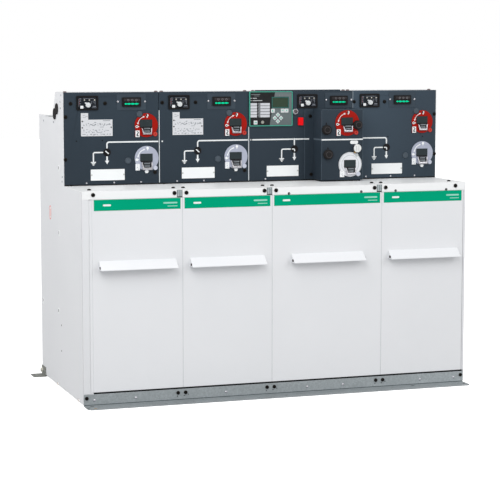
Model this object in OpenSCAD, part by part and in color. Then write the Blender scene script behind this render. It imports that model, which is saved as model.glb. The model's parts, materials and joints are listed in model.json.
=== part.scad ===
/* [Cabinet] */
// Width of switchgear bay 1, at the left end
bay_1_w = 372; // [360:1:450]
// Width of switchgear bay 2
bay_2_w = 361; // [350:1:440]
// Width of the circuit-breaker bay, bay 3
bay_3_w = 434; // [420:1:530]
// Width of switchgear bay 4, at the right end
bay_4_w = 365; // [355:1:440]
// Depth of the cabinet, from the cable panels to the rear panel
cabinet_d = 710; // [600:5:860]
// Height to the top of the mechanism box
cabinet_h = 1142; // [1130:2:1380]
// Height of the shelf on top of the cable compartments
shelf_h = 790; // [640:2:792]
// Height of the lid of the switch tank
tank_h = 1044; // [880:2:1060]
// Thickness of the painted sheet steel
sheet_t = 2; // [1.5:0.5:3]
// Height of the rim along the rear edge of each side panel
rear_rim_h = 4; // [2:1:10]
// Depth of that rim
rear_rim_d = 118; // [60:2:160]

/* [Mechanism box] */
// Distance of the control fascia behind the cable panels
fascia_setback = 280; // [200:5:330]
// Depth of the mechanism box at its top
box_top_d = 132; // [90:2:150]
// Depth of the mechanism box at the tank lid
box_base_d = 185; // [160:5:220]
// Gap between two fascia plates
fascia_gap = 1.5; // [1:0.5:4]
// Gap between the fascia and the shelf
fascia_lift = 4; // [2:0.5:8]
// Width of the plated strip over the joint on the left of bays 2 and 3
joint_strip_w = 3; // [2:0.5:10]

/* [Cable compartments] */
// Width of the front flange of the left side panel
left_flange_w = 28; // [15:1:40]
// Width of the front flange of the right side panel
right_flange_w = 9; // [6:1:40]
// Width of the corner post that shows beside the left flange
post_reveal = 9; // [5:1:20]
// How far the panel joints sit to the right of the fascia joints, bay 1
joint_1_shift = 10; // [-10:1:20]
// The same for bay 2
joint_2_shift = 0; // [-10:1:20]
// The same for bay 3
joint_3_shift = 12; // [-10:1:20]
// Gap between two cable panels, and above them
panel_gap = 1.5; // [1:0.5:5]
// Gap between the cable panels and the base rail
sill_gap = 6; // [3:1:10]
// Depth of a cable panel, over its folded edges
panel_d = 20; // [12:1:30]
// Height of the front lip of the shelf
lip_h = 30; // [20:1:45]
// Height of the green band on each cable panel
band_h = 40; // [20:1:60]
// Height of the top edge of the panel handles
handle_z = 535; // [400:5:600]
// Width of a panel handle
handle_w = 292; // [180:2:300]
// How far a handle stands out
handle_out = 38; // [25:1:50]
// Drop of a handle's sloping face
handle_drop = 30; // [20:1:45]
// Width of a galvanised latch plate
latch_plate_w = 20; // [12:1:28]

/* [Base] */
// Height of the web of the front base rail
rail_h = 44; // [30:1:60]
// Reach of the floor flange in front of the panels
flange_reach = 75; // [50:1:100]
// Thickness of the galvanised steel
rail_t = 3; // [2:0.5:5]
// Radius of the floor bolt holes
bolt_hole_r = 6.5; // [5:0.5:9]
// Distance of the front bolt holes from the cabinet's ends
front_bolt_inset = 46; // [30:1:90]
// Distance of the front bolt holes in front of the panels
front_bolt_out = 45; // [30:1:60]
// Length of a levelling slot in the floor flange
slot_len = 14; // [8:1:24]
// Width of a levelling slot
slot_w = 8; // [5:0.5:12]
// Reach of a rear foot beside the cabinet
foot_reach = 50; // [35:1:80]
// Length of a rear foot
foot_len = 70; // [50:1:110]
// Height of a rear foot
foot_h = 38; // [25:1:60]
// Height of the lower edge of the side and rear panels
sill_z = 6; // [4:1:20]

/* [Controls] */
// Height of the fault indicators' centres
fault_z = 1102; // [1080:1:1110]
// Width of a fault indicator
fault_w = 84; // [70:1:96]
// Height of a fault indicator
fault_h = 54; // [40:1:60]
// Height of the voltage indicators' centres
voltage_z = 1104.5; // [1090:0.5:1112]
// Width of a voltage indicator's plate
voltage_w = 114; // [100:1:120]
// Height of a voltage indicator's plate
voltage_plate_h = 60; // [50:1:66]
// Height of the switch discs' centres
switch_z = 1016; // [1000:1:1030]
// Radius of a switch disc
switch_r = 45.5; // [40:0.5:50]
// Height of the earthing discs' centres
earth_z = 890; // [880:1:900]
// Radius of an earthing disc
earth_r = 47; // [40:1:50]
// Height of the position indicators
indicator_z = 915; // [905:1:925]
// Radius of a position indicator
indicator_r = 14; // [10:1:18]
// Height of the label holders' centres
label_z = 830; // [822:1:845]
// Width of the protection relay
relay_w = 178; // [150:1:190]
// Height of the protection relay
relay_h = 135; // [110:1:150]

/* [Breaker box] */
// Distance of the breaker box from the left joint of bay 3
breaker_x = 270; // [262:1:290]
// Width of the breaker box
breaker_w = 174; // [160:1:180]
// Width of its mounting flange on the left
breaker_flange_w = 38; // [14:1:40]
// Height of the breaker box
breaker_h = 276; // [266:1:282]
// Depth of the breaker box in front of the fascia
breaker_d = 90; // [60:1:120]
// Radius of the breaker's disc
breaker_disc_r = 50; // [45:1:54]
// Radius of the black knobs
knob_r = 19; // [14:1:22]

/* [Hidden] */
$fn = 48;
eps = 0.01;

cabinet_w = bay_1_w + bay_2_w + bay_3_w + bay_4_w;
front_y = (flange_reach - cabinet_d) / 2;
bay_w = [bay_1_w, bay_2_w, bay_3_w, bay_4_w];
bay_x = [0, bay_1_w, bay_1_w + bay_2_w, bay_1_w + bay_2_w + bay_3_w];

// Colours
white = "#F1F2F4";
slate = "#38434D";
zinc = "#9AA5A8";
steel = "#C4C8CA";
black = "#1B1A1A";
green = "#02A57D";
red = "#A92016";
lilac = "#ABB0C0";

// Joints between the cable panels, and the panels' two ends
panel_left = left_flange_w + post_reveal + 2.5;
panel_right = cabinet_w - right_flange_w;
joint_x = [bay_x[1] + joint_1_shift, bay_x[2] + joint_2_shift, bay_x[3] + joint_3_shift];
panel_from = [panel_left, joint_x[0] + panel_gap / 2, joint_x[1] + panel_gap / 2, joint_x[2] + panel_gap / 2];
panel_to = [joint_x[0] - panel_gap / 2, joint_x[1] - panel_gap / 2, joint_x[2] - panel_gap / 2, panel_right - 1];
panel_z = rail_h + sill_gap;
panel_top = shelf_h - lip_h - panel_gap;
shelf_from = [0, joint_x[0], joint_x[1], joint_x[2]];
shelf_to = [joint_x[0], joint_x[1], joint_x[2], cabinet_w];

// Places along each bay, from the left end of bay 1 or from the bay's own joint
bay_shift = [0, -13, 0, -19];
fault_x = [93, 93, 244, 93];
voltage_x = [264, 264, 376, 234];
device_x = 322;
indicator_x = [168, 168, 191, 168];
label_x = [170, 170, 142, 170];
plain_bays = [0, 1, 3];
plug_low_x = 250;
plug_high_x = 296;
plug_high_dz = 42.5;
plug_r = 12.5;

// Moves a piece from the cabinet's own corner (left, panel front, floor) to the frame
module placed() {
    translate([-cabinet_w / 2, front_y, 0]) children();
}

// A piece drawn face up on the fascia of one bay: X right, Y up the fascia, Z out of it
module on_fascia(bay, x, z, out = 0) {
    placed() translate([bay_x[bay] + bay_shift[bay] + x, fascia_setback - out, z]) rotate([90, 0, 0]) children();
}

// The same on the front of the breaker box, from the box's left edge
module on_breaker(x, z) {
    on_fascia(2, breaker_x + x, z, breaker_d) children();
}

module rounded_plate(w, h, t, r) {
    linear_extrude(t) {
        square([w - 2 * r, h], center = true);
        square([w, h - 2 * r], center = true);
        for (sx = [-1, 1], sy = [-1, 1]) translate([sx * (w / 2 - r), sy * (h / 2 - r)]) circle(r);
    }
}

// ---- Cabinet ----

flange_clear = 0.4;
grommet_r = 21;
grommet_neck_r = 18;
// Both stay low in the mechanism box, where its sloping back leaves room
grommet_at = [[fascia_setback + 103, tank_h + 34], [fascia_setback + 141, tank_h + 14]];

module side_profile() {
    difference() {
        polygon([
            [0, sill_z], [0, shelf_h - sheet_t], [fascia_setback, shelf_h - sheet_t],
            [fascia_setback, cabinet_h], [fascia_setback + box_top_d, cabinet_h],
            [fascia_setback + box_base_d, tank_h], [cabinet_d - rear_rim_d, tank_h],
            [cabinet_d - rear_rim_d, tank_h + rear_rim_h], [cabinet_d, tank_h + rear_rim_h],
            [cabinet_d, sill_z]
        ]);
        for (y = [65, 415]) translate([y, sill_z - eps]) square([24, 8]);
        for (p = grommet_at) translate(p) circle(grommet_neck_r);
    }
}

module side_panel(flange_w, flange_z) {
    rotate([90, 0, 90]) linear_extrude(sheet_t) side_profile();
    translate([sheet_t - eps, 0, flange_z])
        cube([flange_w - sheet_t + eps, sheet_t, panel_top + panel_gap - flange_z]);
}

module side_panel_left() {
    color(white) placed() side_panel(left_flange_w, rail_h + flange_clear);
}

module side_panel_right() {
    color(white) placed() translate([cabinet_w, 0, 0]) mirror([1, 0, 0]) side_panel(right_flange_w, panel_z);
}

module rear_panel() {
    color(white) placed()
        translate([sheet_t, cabinet_d - sheet_t, sill_z])
            cube([cabinet_w - 2 * sheet_t, sheet_t, tank_h - sill_z]);
}

tank_bottom = 430;
tank_step_y = fascia_setback + box_base_d + sheet_t;

module switch_tank() {
    color(steel) placed() translate([sheet_t, 0, 0]) {
        translate([0, tank_step_y, shelf_h - 100])
            cube([cabinet_w - 2 * sheet_t, cabinet_d - sheet_t - tank_step_y, tank_h - sheet_t - shelf_h + 100]);
        translate([0, fascia_setback, tank_bottom])
            cube([cabinet_w - 2 * sheet_t, cabinet_d - sheet_t - fascia_setback, shelf_h - 100 - tank_bottom]);
    }
}

// Top plate and sloping back of the mechanism box, one folded sheet
module mechanism_cover() {
    back = fascia_setback + box_top_d;
    foot = fascia_setback + box_base_d;
    color(white) placed() translate([sheet_t, 0, 0]) rotate([90, 0, 90])
        linear_extrude(cabinet_w - 2 * sheet_t) polygon([
            [fascia_setback + sheet_t, cabinet_h], [back, cabinet_h], [foot, tank_h],
            [foot + sheet_t, tank_h - 20], [foot, tank_h - 20], [foot - sheet_t, tank_h],
            [back - sheet_t, cabinet_h - sheet_t], [fascia_setback + sheet_t, cabinet_h - sheet_t]
        ]);
}

// ---- Control fascia ----

module fascia(bay) {
    from = bay == 0 ? sheet_t : bay_x[bay] + fascia_gap / 2;
    to = bay == 3 ? cabinet_w - sheet_t : bay_x[bay] + bay_w[bay] - fascia_gap / 2;
    placed() translate([from, fascia_setback, shelf_h + fascia_lift])
        cube([to - from, sheet_t, cabinet_h - shelf_h - fascia_lift]);
}

// Cut-outs behind the indicators
module fascia_with_cutouts(bay) {
    difference() {
        fascia(bay);
        on_fascia(bay, fault_x[bay], fault_z, -10) rounded_plate(fault_w - 12, fault_h - 12, 20, 2);
        on_fascia(bay, voltage_x[bay], voltage_z, -10) rounded_plate(66, 28, 20, 2);
        children();
    }
}

module fascia_1() {
    color(slate) fascia_with_cutouts(0);
}

module fascia_2() {
    color(slate) fascia_with_cutouts(1);
}

relay_rim = 3;
relay_out = 6;
relay_face = 4;
relay_x = relay_w / 2 + 3;
relay_z = cabinet_h - relay_h / 2 - 1;

module fascia_3() {
    color(slate) {
        fascia_with_cutouts(2)
            on_fascia(2, relay_x, relay_z, -10) rounded_plate(relay_w - 24, relay_h - 24, 20, 2);
        // Wiring strip along the top edge
        placed() translate([bay_x[2] + 35, fascia_setback + sheet_t + 1, cabinet_h])
            cube([350, 24, rear_rim_h]);
    }
}

module fascia_4() {
    color(slate) fascia_with_cutouts(3);
}

module breaker_box() {
    color(slate) on_fascia(2, breaker_x, shelf_h + fascia_lift + 1) {
        difference() {
            cube([breaker_w, breaker_h, breaker_d]);
            translate([sheet_t, sheet_t, -1]) cube([breaker_w - 2 * sheet_t, breaker_h - 2 * sheet_t, breaker_d - sheet_t + 1]);
        }
        translate([-breaker_flange_w, 0, 0]) cube([breaker_flange_w + eps, breaker_h, sheet_t]);
    }
}

// ---- Cable compartments ----

module shelf(bay) {
    x = shelf_from[bay];
    w = shelf_to[bay] - x - (bay < 3 ? 0.5 : 0);
    color(white) placed() translate([x, 0, 0]) {
        translate([0, 0, shelf_h - sheet_t]) cube([w, fascia_setback - 0.3, sheet_t]);
        translate([bay == 0 ? sheet_t : 0, 0, shelf_h - lip_h])
            cube([w - (bay < 3 ? latch_plate_w + 1 : sheet_t) - (bay == 0 ? sheet_t : 0), sheet_t, lip_h - eps]);
    }
}

module shelf_1() shelf(0);
module shelf_2() shelf(1);
module shelf_3() shelf(2);
module shelf_4() shelf(3);

post_w = 36;
post_d = 30;

// Posts between the cable compartments, with a latch plate on each of the middle three,
// and the strips over the fascia joints, which end below the indicators and the relay
module frame_posts() {
    color(zinc) placed() {
        for (x = joint_x) {
            translate([x - post_w / 2, panel_d, panel_z]) cube([post_w, post_d, shelf_h - sheet_t - panel_z]);
            translate([x - latch_plate_w - 0.75, 0.5, shelf_h - lip_h + 4])
                cube([latch_plate_w, panel_d - 0.5 + eps, lip_h - sheet_t - 4.5]);
        }
        strip_foot = shelf_h + fascia_lift + 2;
        for (strip = [[1, fault_z - fault_h / 2 - 3], [2, relay_z - relay_h / 2 - 2]])
            translate([bay_x[strip[0]], fascia_setback - 0.8, strip_foot])
                cube([joint_strip_w, 0.8, strip[1] - strip_foot]);
        translate([panel_right - post_w, panel_d, panel_z]) cube([post_w, post_d, shelf_h - sheet_t - panel_z]);
    }
}

// Painted corner post behind the left flange, which shows as a strip beside it
module corner_post() {
    step_x = left_flange_w + 1;
    color(white) placed() translate([0, 0, panel_z]) linear_extrude(panel_top - panel_z) polygon([
        [sheet_t, sheet_t], [step_x, sheet_t], [step_x, 0.5], [step_x + post_reveal + 0.5, 0.5],
        [step_x + post_reveal + 0.5, post_d], [sheet_t, post_d]
    ]);
}

module cable_panel(bay) {
    w = panel_to[bay] - panel_from[bay];
    h = panel_top - panel_z;
    color(white) placed() translate([panel_from[bay], 0, panel_z]) difference() {
        cube([w, panel_d, h]);
        translate([sheet_t, sheet_t, sheet_t]) cube([w - 2 * sheet_t, panel_d, h - 2 * sheet_t]);
    }
}

module cable_panel_1() cable_panel(0);
module cable_panel_2() cable_panel(1);
module cable_panel_3() cable_panel(2);
module cable_panel_4() cable_panel(3);

// Sloping pull handle with closed ends
module handle(bay) {
    mid = [24 + handle_w / 2, 27 + handle_w / 2, 76 + handle_w / 2, 27 + handle_w / 2];
    color(white) placed() translate([panel_from[bay] + mid[bay] - handle_w / 2, 0, handle_z])
        rotate([90, 0, 90]) linear_extrude(handle_w)
            polygon([[0, 0], [-handle_out, -handle_drop], [-handle_out, -handle_drop - 3], [0, -handle_drop - 3]]);
}

module handle_1() handle(0);
module handle_2() handle(1);
module handle_3() handle(2);
module handle_4() handle(3);

band_t = 0.6;
band_inset = 7;

module label_bands() {
    color(green) placed() for (bay = [0:3])
        translate([panel_from[bay] + band_inset, -band_t, panel_top - band_h])
            cube([panel_to[bay] - panel_from[bay] - 2 * band_inset, band_t, band_h]);
}

// ---- Base ----

// Levelling slots beside each bay joint: distance along the rail, distance in front of the panels
flange_slots = [[-70, 50], [-28, 60], [40, 42]];

module base_rail_front() {
    length = cabinet_w - 2 * sheet_t;
    chamfer = 12;
    color(zinc) placed() translate([sheet_t, 0, 0]) difference() {
        union() {
            cube([length, rail_t, rail_h]);
            linear_extrude(rail_t) polygon([
                [0, rail_t], [0, chamfer - flange_reach], [chamfer, -flange_reach],
                [length - chamfer, -flange_reach], [length, chamfer - flange_reach], [length, rail_t]
            ]);
        }
        for (x = [front_bolt_inset, cabinet_w - front_bolt_inset])
            translate([x - sheet_t, -front_bolt_out, -1]) cylinder(r = bolt_hole_r, h = rail_t + 2);
        for (joint = [1:3], p = flange_slots)
            translate([bay_x[joint] + p[0] - sheet_t, -p[1], -1]) rounded_plate(slot_len, slot_w, rail_t + 2, slot_w / 2 - 0.1);
    }
}

module base_rail_rear() {
    color(zinc) placed() translate([sheet_t, cabinet_d - sheet_t, 0]) {
        translate([0, -rail_t, 0]) cube([cabinet_w - 2 * sheet_t, rail_t, rail_h]);
        translate([0, -60, 0]) cube([cabinet_w - 2 * sheet_t, 60, rail_t]);
    }
}

module rear_foot() {
    translate([-rail_t, cabinet_d - foot_len, 0]) difference() {
        union() {
            cube([rail_t, foot_len, foot_h]);
            translate([rail_t - foot_reach, 0, 0]) cube([foot_reach, foot_len, rail_t]);
        }
        translate([rail_t - foot_reach + 13, foot_len / 2, -1]) cylinder(r = bolt_hole_r, h = rail_t + 2);
    }
}

module rear_feet() {
    color(zinc) placed() {
        rear_foot();
        translate([cabinet_w, 0, 0]) mirror([1, 0, 0]) rear_foot();
    }
}

// ---- Controls ----

// Frame with a sunk face, and the body behind the fascia
module fault_indicators() {
    color(black) for (bay = [0:3]) on_fascia(bay, fault_x[bay], fault_z) {
        difference() {
            rounded_plate(fault_w, fault_h, 5, 4);
            translate([0, 0, 2]) rounded_plate(fault_w - 12, fault_h - 10, 4, 2);
        }
        translate([0, 0, -30]) rounded_plate(fault_w - 13, fault_h - 13, 30 + eps, 2);
    }
}

module indicator_knobs() {
    color("white") for (bay = [0:3]) on_fascia(bay, fault_x[bay], fault_z, 2) {
        translate([4, -5, 0]) cylinder(r = 10.4, h = 8);
        translate([-20, -14, 0]) cylinder(r = 6, h = 4);
    }
}

module voltage_plates() {
    color(slate) for (bay = [0:3]) on_fascia(bay, voltage_x[bay], voltage_z) difference() {
        rounded_plate(voltage_w, voltage_plate_h, 1.5, 3);
        translate([0, 0, -1]) rounded_plate(66, 28, 4, 2);
    }
}

module voltage_modules() {
    color(black) for (bay = [0:3]) on_fascia(bay, voltage_x[bay], voltage_z) {
        translate([0, 0, 1.5]) rounded_plate(73, 35, 6, 2);
        translate([0, 0, -40]) rounded_plate(65, 27, 41.5 + eps, 2);
    }
}

disc_t = 3;
window_w = 49;
window_h = 28;
// Centres of the windows, from the centre of the disc
switch_window = [-1, 7.5];
earth_window = [-1, 3.5];
// How far beyond the rim the centres of the ear and of the label pad lie
ear_out = 3.5;
pad_out = 2;

function on_rim(reach, angle) = reach * [cos(angle), sin(angle)];

// Round plate with an ear at the lower right and a square label pad at the lower left
module device_disc(r, ear_angle, pad_angle, window) {
    linear_extrude(disc_t) difference() {
        union() {
            circle(r);
            translate(on_rim(r + ear_out, ear_angle)) circle(9);
            translate(on_rim(r + pad_out, pad_angle)) square([18, 25], center = true);
        }
        translate(window) square([window_w, window_h], center = true);
    }
}

// Each switch disc is cut out around the upper plug
module switch_discs() {
    color(red) {
        for (bay = plain_bays) on_fascia(bay, device_x, switch_z) difference() {
            device_disc(switch_r, -44.5, -137, switch_window);
            translate([plug_high_x - device_x, plug_high_dz, -1]) cylinder(r = plug_r + 1, h = disc_t + 2);
        }
        on_breaker(107, switch_z + 2) device_disc(breaker_disc_r, -45.5, -134.5, switch_window);
    }
}

module earthing_discs() {
    color(lilac) {
        for (bay = plain_bays) on_fascia(bay, device_x + 1, earth_z) device_disc(earth_r, -47.5, -137, earth_window);
        on_breaker(120, earth_z - 34) device_disc(earth_r + 1, -48, -132.5, earth_window);
    }
}

module shutter() rounded_plate(window_w - 1, window_h - 1, 4, 1);

// Dark sliding shutters in the disc windows
module socket_shutters() {
    color(slate) {
        for (bay = plain_bays) {
            on_fascia(bay, device_x, switch_z) translate(switch_window) shutter();
            on_fascia(bay, device_x + 1, earth_z) translate(earth_window) shutter();
        }
        on_breaker(107, switch_z + 2) translate(switch_window) shutter();
        on_breaker(120, earth_z - 34) translate(earth_window) shutter();
    }
}

// Plated padlock bracket below each shutter
module padlock_bracket(w = 42, h = 26) {
    difference() {
        rounded_plate(w, h, 9, 2);
        translate([0, 5, 3]) rounded_plate(w - 10, h - 14, 7, 1);
    }
}

module padlock_brackets() {
    color("silver") {
        for (bay = plain_bays) {
            on_fascia(bay, device_x, switch_z - 22, disc_t) padlock_bracket();
            on_fascia(bay, device_x, earth_z - 29, disc_t) padlock_bracket(44, 33);
        }
        on_breaker(108, switch_z - 20) translate([0, 0, disc_t]) padlock_bracket();
        on_breaker(120, earth_z - 60) translate([0, 0, disc_t]) padlock_bracket(44, 28);
    }
}

module position_indicators() {
    color(black) for (bay = [0:3]) on_fascia(bay, indicator_x[bay], indicator_z)
        rotate_extrude() polygon([[0, 0], [indicator_r, 0], [indicator_r, 3], [indicator_r - 2, 4], [indicator_r - 3, 2.5], [0, 2.5]]);
}

module socket_plugs() {
    color(slate) {
        for (bay = plain_bays) on_fascia(bay, plug_low_x, earth_z - 8) cylinder(r1 = plug_r, r2 = plug_r - 2, h = 4);
        for (bay = plain_bays) on_fascia(bay, plug_high_x, switch_z + plug_high_dz)
            cylinder(r1 = plug_r, r2 = plug_r - 2, h = 4);
    }
}

module protection_relay() {
    color("#3E9C85") on_fascia(2, relay_x, relay_z) {
        difference() {
            rounded_plate(relay_w, relay_h, relay_out, 4);
            translate([0, 0, relay_face]) rounded_plate(relay_w - 2 * relay_rim, relay_h - 2 * relay_rim, relay_out, 2);
        }
        translate([0, 0, -80]) rounded_plate(relay_w - 25, relay_h - 25, 80 + eps, 2);
    }
}

module relay_keys() {
    color("#5A6268") on_fascia(2, relay_x, relay_z, relay_face) {
        for (x = [9, 54, 71]) translate([x, -8, 0]) rounded_plate(14, 14, 3, 2);
        translate([31, -38, 0]) rotate([0, 0, 45]) rounded_plate(24, 24, 3, 4);
        translate([-65, -54, 0]) rounded_plate(15, 15, 3, 3);
    }
}

relay_lamp_r = 12;

// Beside the relay
module relay_lamp() {
    color("silver") on_fascia(2, relay_x + relay_w / 2 + relay_lamp_r + 0.2, switch_z + 46)
        rotate_extrude() polygon([
            [0, 0], [relay_lamp_r, 0], [relay_lamp_r, 6], [relay_lamp_r - 2, 9], [relay_lamp_r - 4, 9],
            [relay_lamp_r - 4, 6], [0, 7]
        ]);
}

module trip_button() {
    color("#FF2028") on_fascia(2, 215, switch_z + 7) rounded_plate(20, 30, 9, 2);
}

module breaker_knobs() {
    color(black) {
        for (p = [[20, switch_z - 24], [27, earth_z + 6]]) on_breaker(p[0], p[1])
            rotate_extrude() polygon([[0, 0], [knob_r, 0], [knob_r, 10], [knob_r - 5, 15], [0, 17]]);
        // Beside the shutter of the breaker's switch disc
        on_breaker(107 + switch_window[0] + window_w / 2 + knob_r - 1.3, switch_z - 6) translate([0, 0, disc_t])
            rotate_extrude() polygon([[0, 0], [knob_r - 1, 0], [knob_r - 1, 12], [knob_r - 6, 18], [0, 20]]);
    }
}

module key_lock() {
    color("silver") on_breaker(146, earth_z + 29) {
        cylinder(r = 16, h = 14);
        translate([-9, -17, disc_t + 0.3]) rounded_plate(9, 10, 6, 2);
    }
}

// Rating-plate holders and blank label holders
module label_holders() {
    color("#E4E6E7") {
        for (bay = [0:3]) on_fascia(bay, label_x[bay], label_z) rounded_plate(132, 42, 1.5, 1);
        for (bay = [0, 1]) on_fascia(bay, 129, 1008) linear_extrude(1) polygon([
            [-61, -31], [61, -31], [61, 31], [-33, 31], [-33, 56], [-61, 56]
        ]);
        on_breaker(137, earth_z + 52) rounded_plate(33, 13, 1, 6);
    }
}

// Rubber grommets through both side panels
module grommet() {
    rotate([0, 90, 0]) rotate_extrude() polygon([
        [0, -4], [grommet_r, -4], [grommet_r, 0], [grommet_neck_r - 0.1, 0],
        [grommet_neck_r - 0.1, sheet_t], [grommet_r, sheet_t], [grommet_r, sheet_t + 3], [0, sheet_t + 3]
    ]);
}

module cable_grommets() {
    color(black) placed() for (p = grommet_at) {
        translate([0, p[0], p[1]]) grommet();
        translate([cabinet_w, p[0], p[1]]) mirror([1, 0, 0]) grommet();
    }
}

side_panel_left();
side_panel_right();
rear_panel();
switch_tank();
mechanism_cover();
fascia_1();
fascia_2();
fascia_3();
fascia_4();
breaker_box();
shelf_1();
shelf_2();
shelf_3();
shelf_4();
frame_posts();
cable_panel_1();
cable_panel_2();
cable_panel_3();
cable_panel_4();
handle_1();
handle_2();
handle_3();
handle_4();
label_bands();
base_rail_front();
base_rail_rear();
rear_feet();
corner_post();
fault_indicators();
indicator_knobs();
voltage_plates();
voltage_modules();
switch_discs();
earthing_discs();
socket_shutters();
padlock_brackets();
position_indicators();
socket_plugs();
protection_relay();
relay_keys();
relay_lamp();
trip_button();
breaker_knobs();
key_lock();
label_holders();
cable_grommets();
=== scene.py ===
import json
import math

import bmesh
import bpy
from mathutils import Euler, Matrix, Vector


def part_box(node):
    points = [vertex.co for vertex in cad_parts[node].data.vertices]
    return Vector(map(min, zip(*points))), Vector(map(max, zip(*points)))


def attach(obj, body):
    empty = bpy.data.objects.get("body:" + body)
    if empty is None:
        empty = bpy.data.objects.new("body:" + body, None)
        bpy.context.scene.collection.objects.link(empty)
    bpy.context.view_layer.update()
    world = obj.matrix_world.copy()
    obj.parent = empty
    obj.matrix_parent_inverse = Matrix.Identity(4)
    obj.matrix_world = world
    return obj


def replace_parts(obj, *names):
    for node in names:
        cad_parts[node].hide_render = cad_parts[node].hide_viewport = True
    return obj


MM = 0.001

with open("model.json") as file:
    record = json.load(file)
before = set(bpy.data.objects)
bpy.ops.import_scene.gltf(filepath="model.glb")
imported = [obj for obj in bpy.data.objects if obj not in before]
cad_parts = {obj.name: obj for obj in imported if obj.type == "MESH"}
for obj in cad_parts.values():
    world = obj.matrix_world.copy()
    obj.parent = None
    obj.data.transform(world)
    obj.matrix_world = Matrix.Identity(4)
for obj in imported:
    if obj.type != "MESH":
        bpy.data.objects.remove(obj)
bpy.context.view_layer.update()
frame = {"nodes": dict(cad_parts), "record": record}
nodes = frame["nodes"]
slots = {part["node"]: part["material_slot"] for part in frame["record"]["subparts"]}


# ---- Places, in millimetres from the cabinet's left side and the floor ----

left_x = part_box("side_panel_left")[0][0]
panel_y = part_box("cable_panel_1")[0][1]
rear_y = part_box("rear_panel")[1][1]
fascia_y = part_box("fascia_1")[0][1]
BOX_OUT = (fascia_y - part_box("breaker_box")[0][1]) / MM


def sides(node):
    """A node's left and right side."""
    return [(corner[0] - left_x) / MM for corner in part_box(node)]


def heights(node):
    """A node's foot and top."""
    return [corner[2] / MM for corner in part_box(node)]


BAYS = (1, 2, 3, 4)
right = sides("side_panel_right")[1]
fascia_foot, top_z = heights("fascia_1")
shelf_z = heights("shelf_1")[1]
sill, panel_top = heights("cable_panel_1")
rail_top = heights("base_rail_front")[1]
box_foot, box_top = heights("breaker_box")

HALF_GAP = 0.75
bay_x = [0.0] + [sides(f"fascia_{bay}")[0] - HALF_GAP for bay in BAYS[1:]]
panel_from = [sides(f"cable_panel_{bay}")[0] for bay in BAYS]
panel_to = [sides(f"cable_panel_{bay}")[1] for bay in BAYS]
door_joints = [(a + b) / 2 for a, b in zip(panel_to, panel_from[1:])]

# Devices sit a little to the left in bays 2 and 4
BAY_SHIFT = (0, -13, 0, -19)
PLAIN_BAYS = (0, 1, 3)
FAULT_X = (93, 93, 244, 93)
VOLTAGE_X = (264, 264, 376, 234)
INDICATOR_X = (168, 168, 191, 168)
LABEL_X = (170, 170, 142, 170)
DISC_X = 322
SWITCH_Z = 1016
EARTH_Z = 890
FAULT_Z = 1102
VOLTAGE_Z = 1104.5
INDICATOR_Z = 915
LABEL_Z = 830
BUS_Z = 953.5

# The breaker box, from the left of bay 3
BOX_X = 270
BOX_W = 174


def bay_at(bay, x):
    return bay_x[bay] + BAY_SHIFT[bay] + x


def front(x, z, out=0.0, turn=0.0, plane=None):
    """Stands a face-up piece on a front plane (the fascia unless given), out in front of it."""
    spot = Vector((left_x + x * MM, (fascia_y if plane is None else plane) - out * MM, z * MM))
    stand = Matrix.Rotation(math.radians(90), 4, "X") @ Matrix.Rotation(math.radians(turn), 4, "Z")
    return Matrix.Translation(spot) @ stand


def on_door(x, z, out=0.0, turn=0.0):
    """Stands a face-up piece on the plane of the cable panels."""
    return front(x, z, out, turn, panel_y)


def side(y, z, out=0.0, turn=0.0, right_side=False, x=None):
    """Stands a face-up piece on a side panel, or on a face at x; y from the cable panels backwards."""
    sign = 1 if right_side else -1
    plane_x = (right if right_side else 0) if x is None else x
    spot = Vector((left_x + (plane_x + sign * out) * MM, panel_y + y * MM, z * MM))
    stand = Matrix.Rotation(math.radians(90 * sign), 4, "Z") @ Matrix.Rotation(math.radians(90), 4, "X")
    return Matrix.Translation(spot) @ stand @ Matrix.Rotation(math.radians(turn), 4, "Z")


def both_sides(y, z, out=0.0, turn=0.0):
    return [side(y, z, out, turn, flip) for flip in (False, True)]


def rear(x, z, out=0.0):
    spot = Vector((left_x + x * MM, rear_y + out * MM, z * MM))
    stand = Matrix.Rotation(math.radians(180), 4, "Z") @ Matrix.Rotation(math.radians(90), 4, "X")
    return Matrix.Translation(spot) @ stand


def flat(x, y, z, turn=0.0):
    """Lays a face-up piece flat; y from the cable panels backwards."""
    spot = Vector((left_x + x * MM, panel_y + y * MM, z * MM))
    return Matrix.Translation(spot) @ Matrix.Rotation(math.radians(turn), 4, "Z")


# ---- Materials ----

# Every finish, by its name
FINISH = {}


def linear(hex_colour):
    """sRGB hex to linear RGBA."""
    values = [int(hex_colour[i : i + 2], 16) / 255 for i in (1, 3, 5)]
    values = [v / 12.92 if v <= 0.04045 else ((v + 0.055) / 1.055) ** 2.4 for v in values]
    return (*values, 1.0)


def add(mat, kind, inputs=None, **settings):
    """Adds one node with its settings, input values and links."""
    made = mat.node_tree.nodes.new("ShaderNode" + kind)
    for key, value in settings.items():
        setattr(made, key, value)
    for key, value in (inputs or {}).items():
        if isinstance(value, bpy.types.NodeSocket):
            mat.node_tree.links.new(value, made.inputs[key])
        else:
            made.inputs[key].default_value = value
    return made


def start_material(name, **shader):
    """A new material, its shader with the given inputs, and its object coordinates."""
    mat = FINISH[name] = bpy.data.materials.new(name)
    mat.use_nodes = True
    bsdf = mat.node_tree.nodes["Principled BSDF"]
    for key, value in shader.items():
        bsdf.inputs[key.replace("_", " ").title().replace("Ior", "IOR")].default_value = value
    return mat, bsdf, add(mat, "TexCoord").outputs["Object"]


def link(mat, output, shader, key):
    mat.node_tree.links.new(output, shader.inputs[key])


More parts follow.
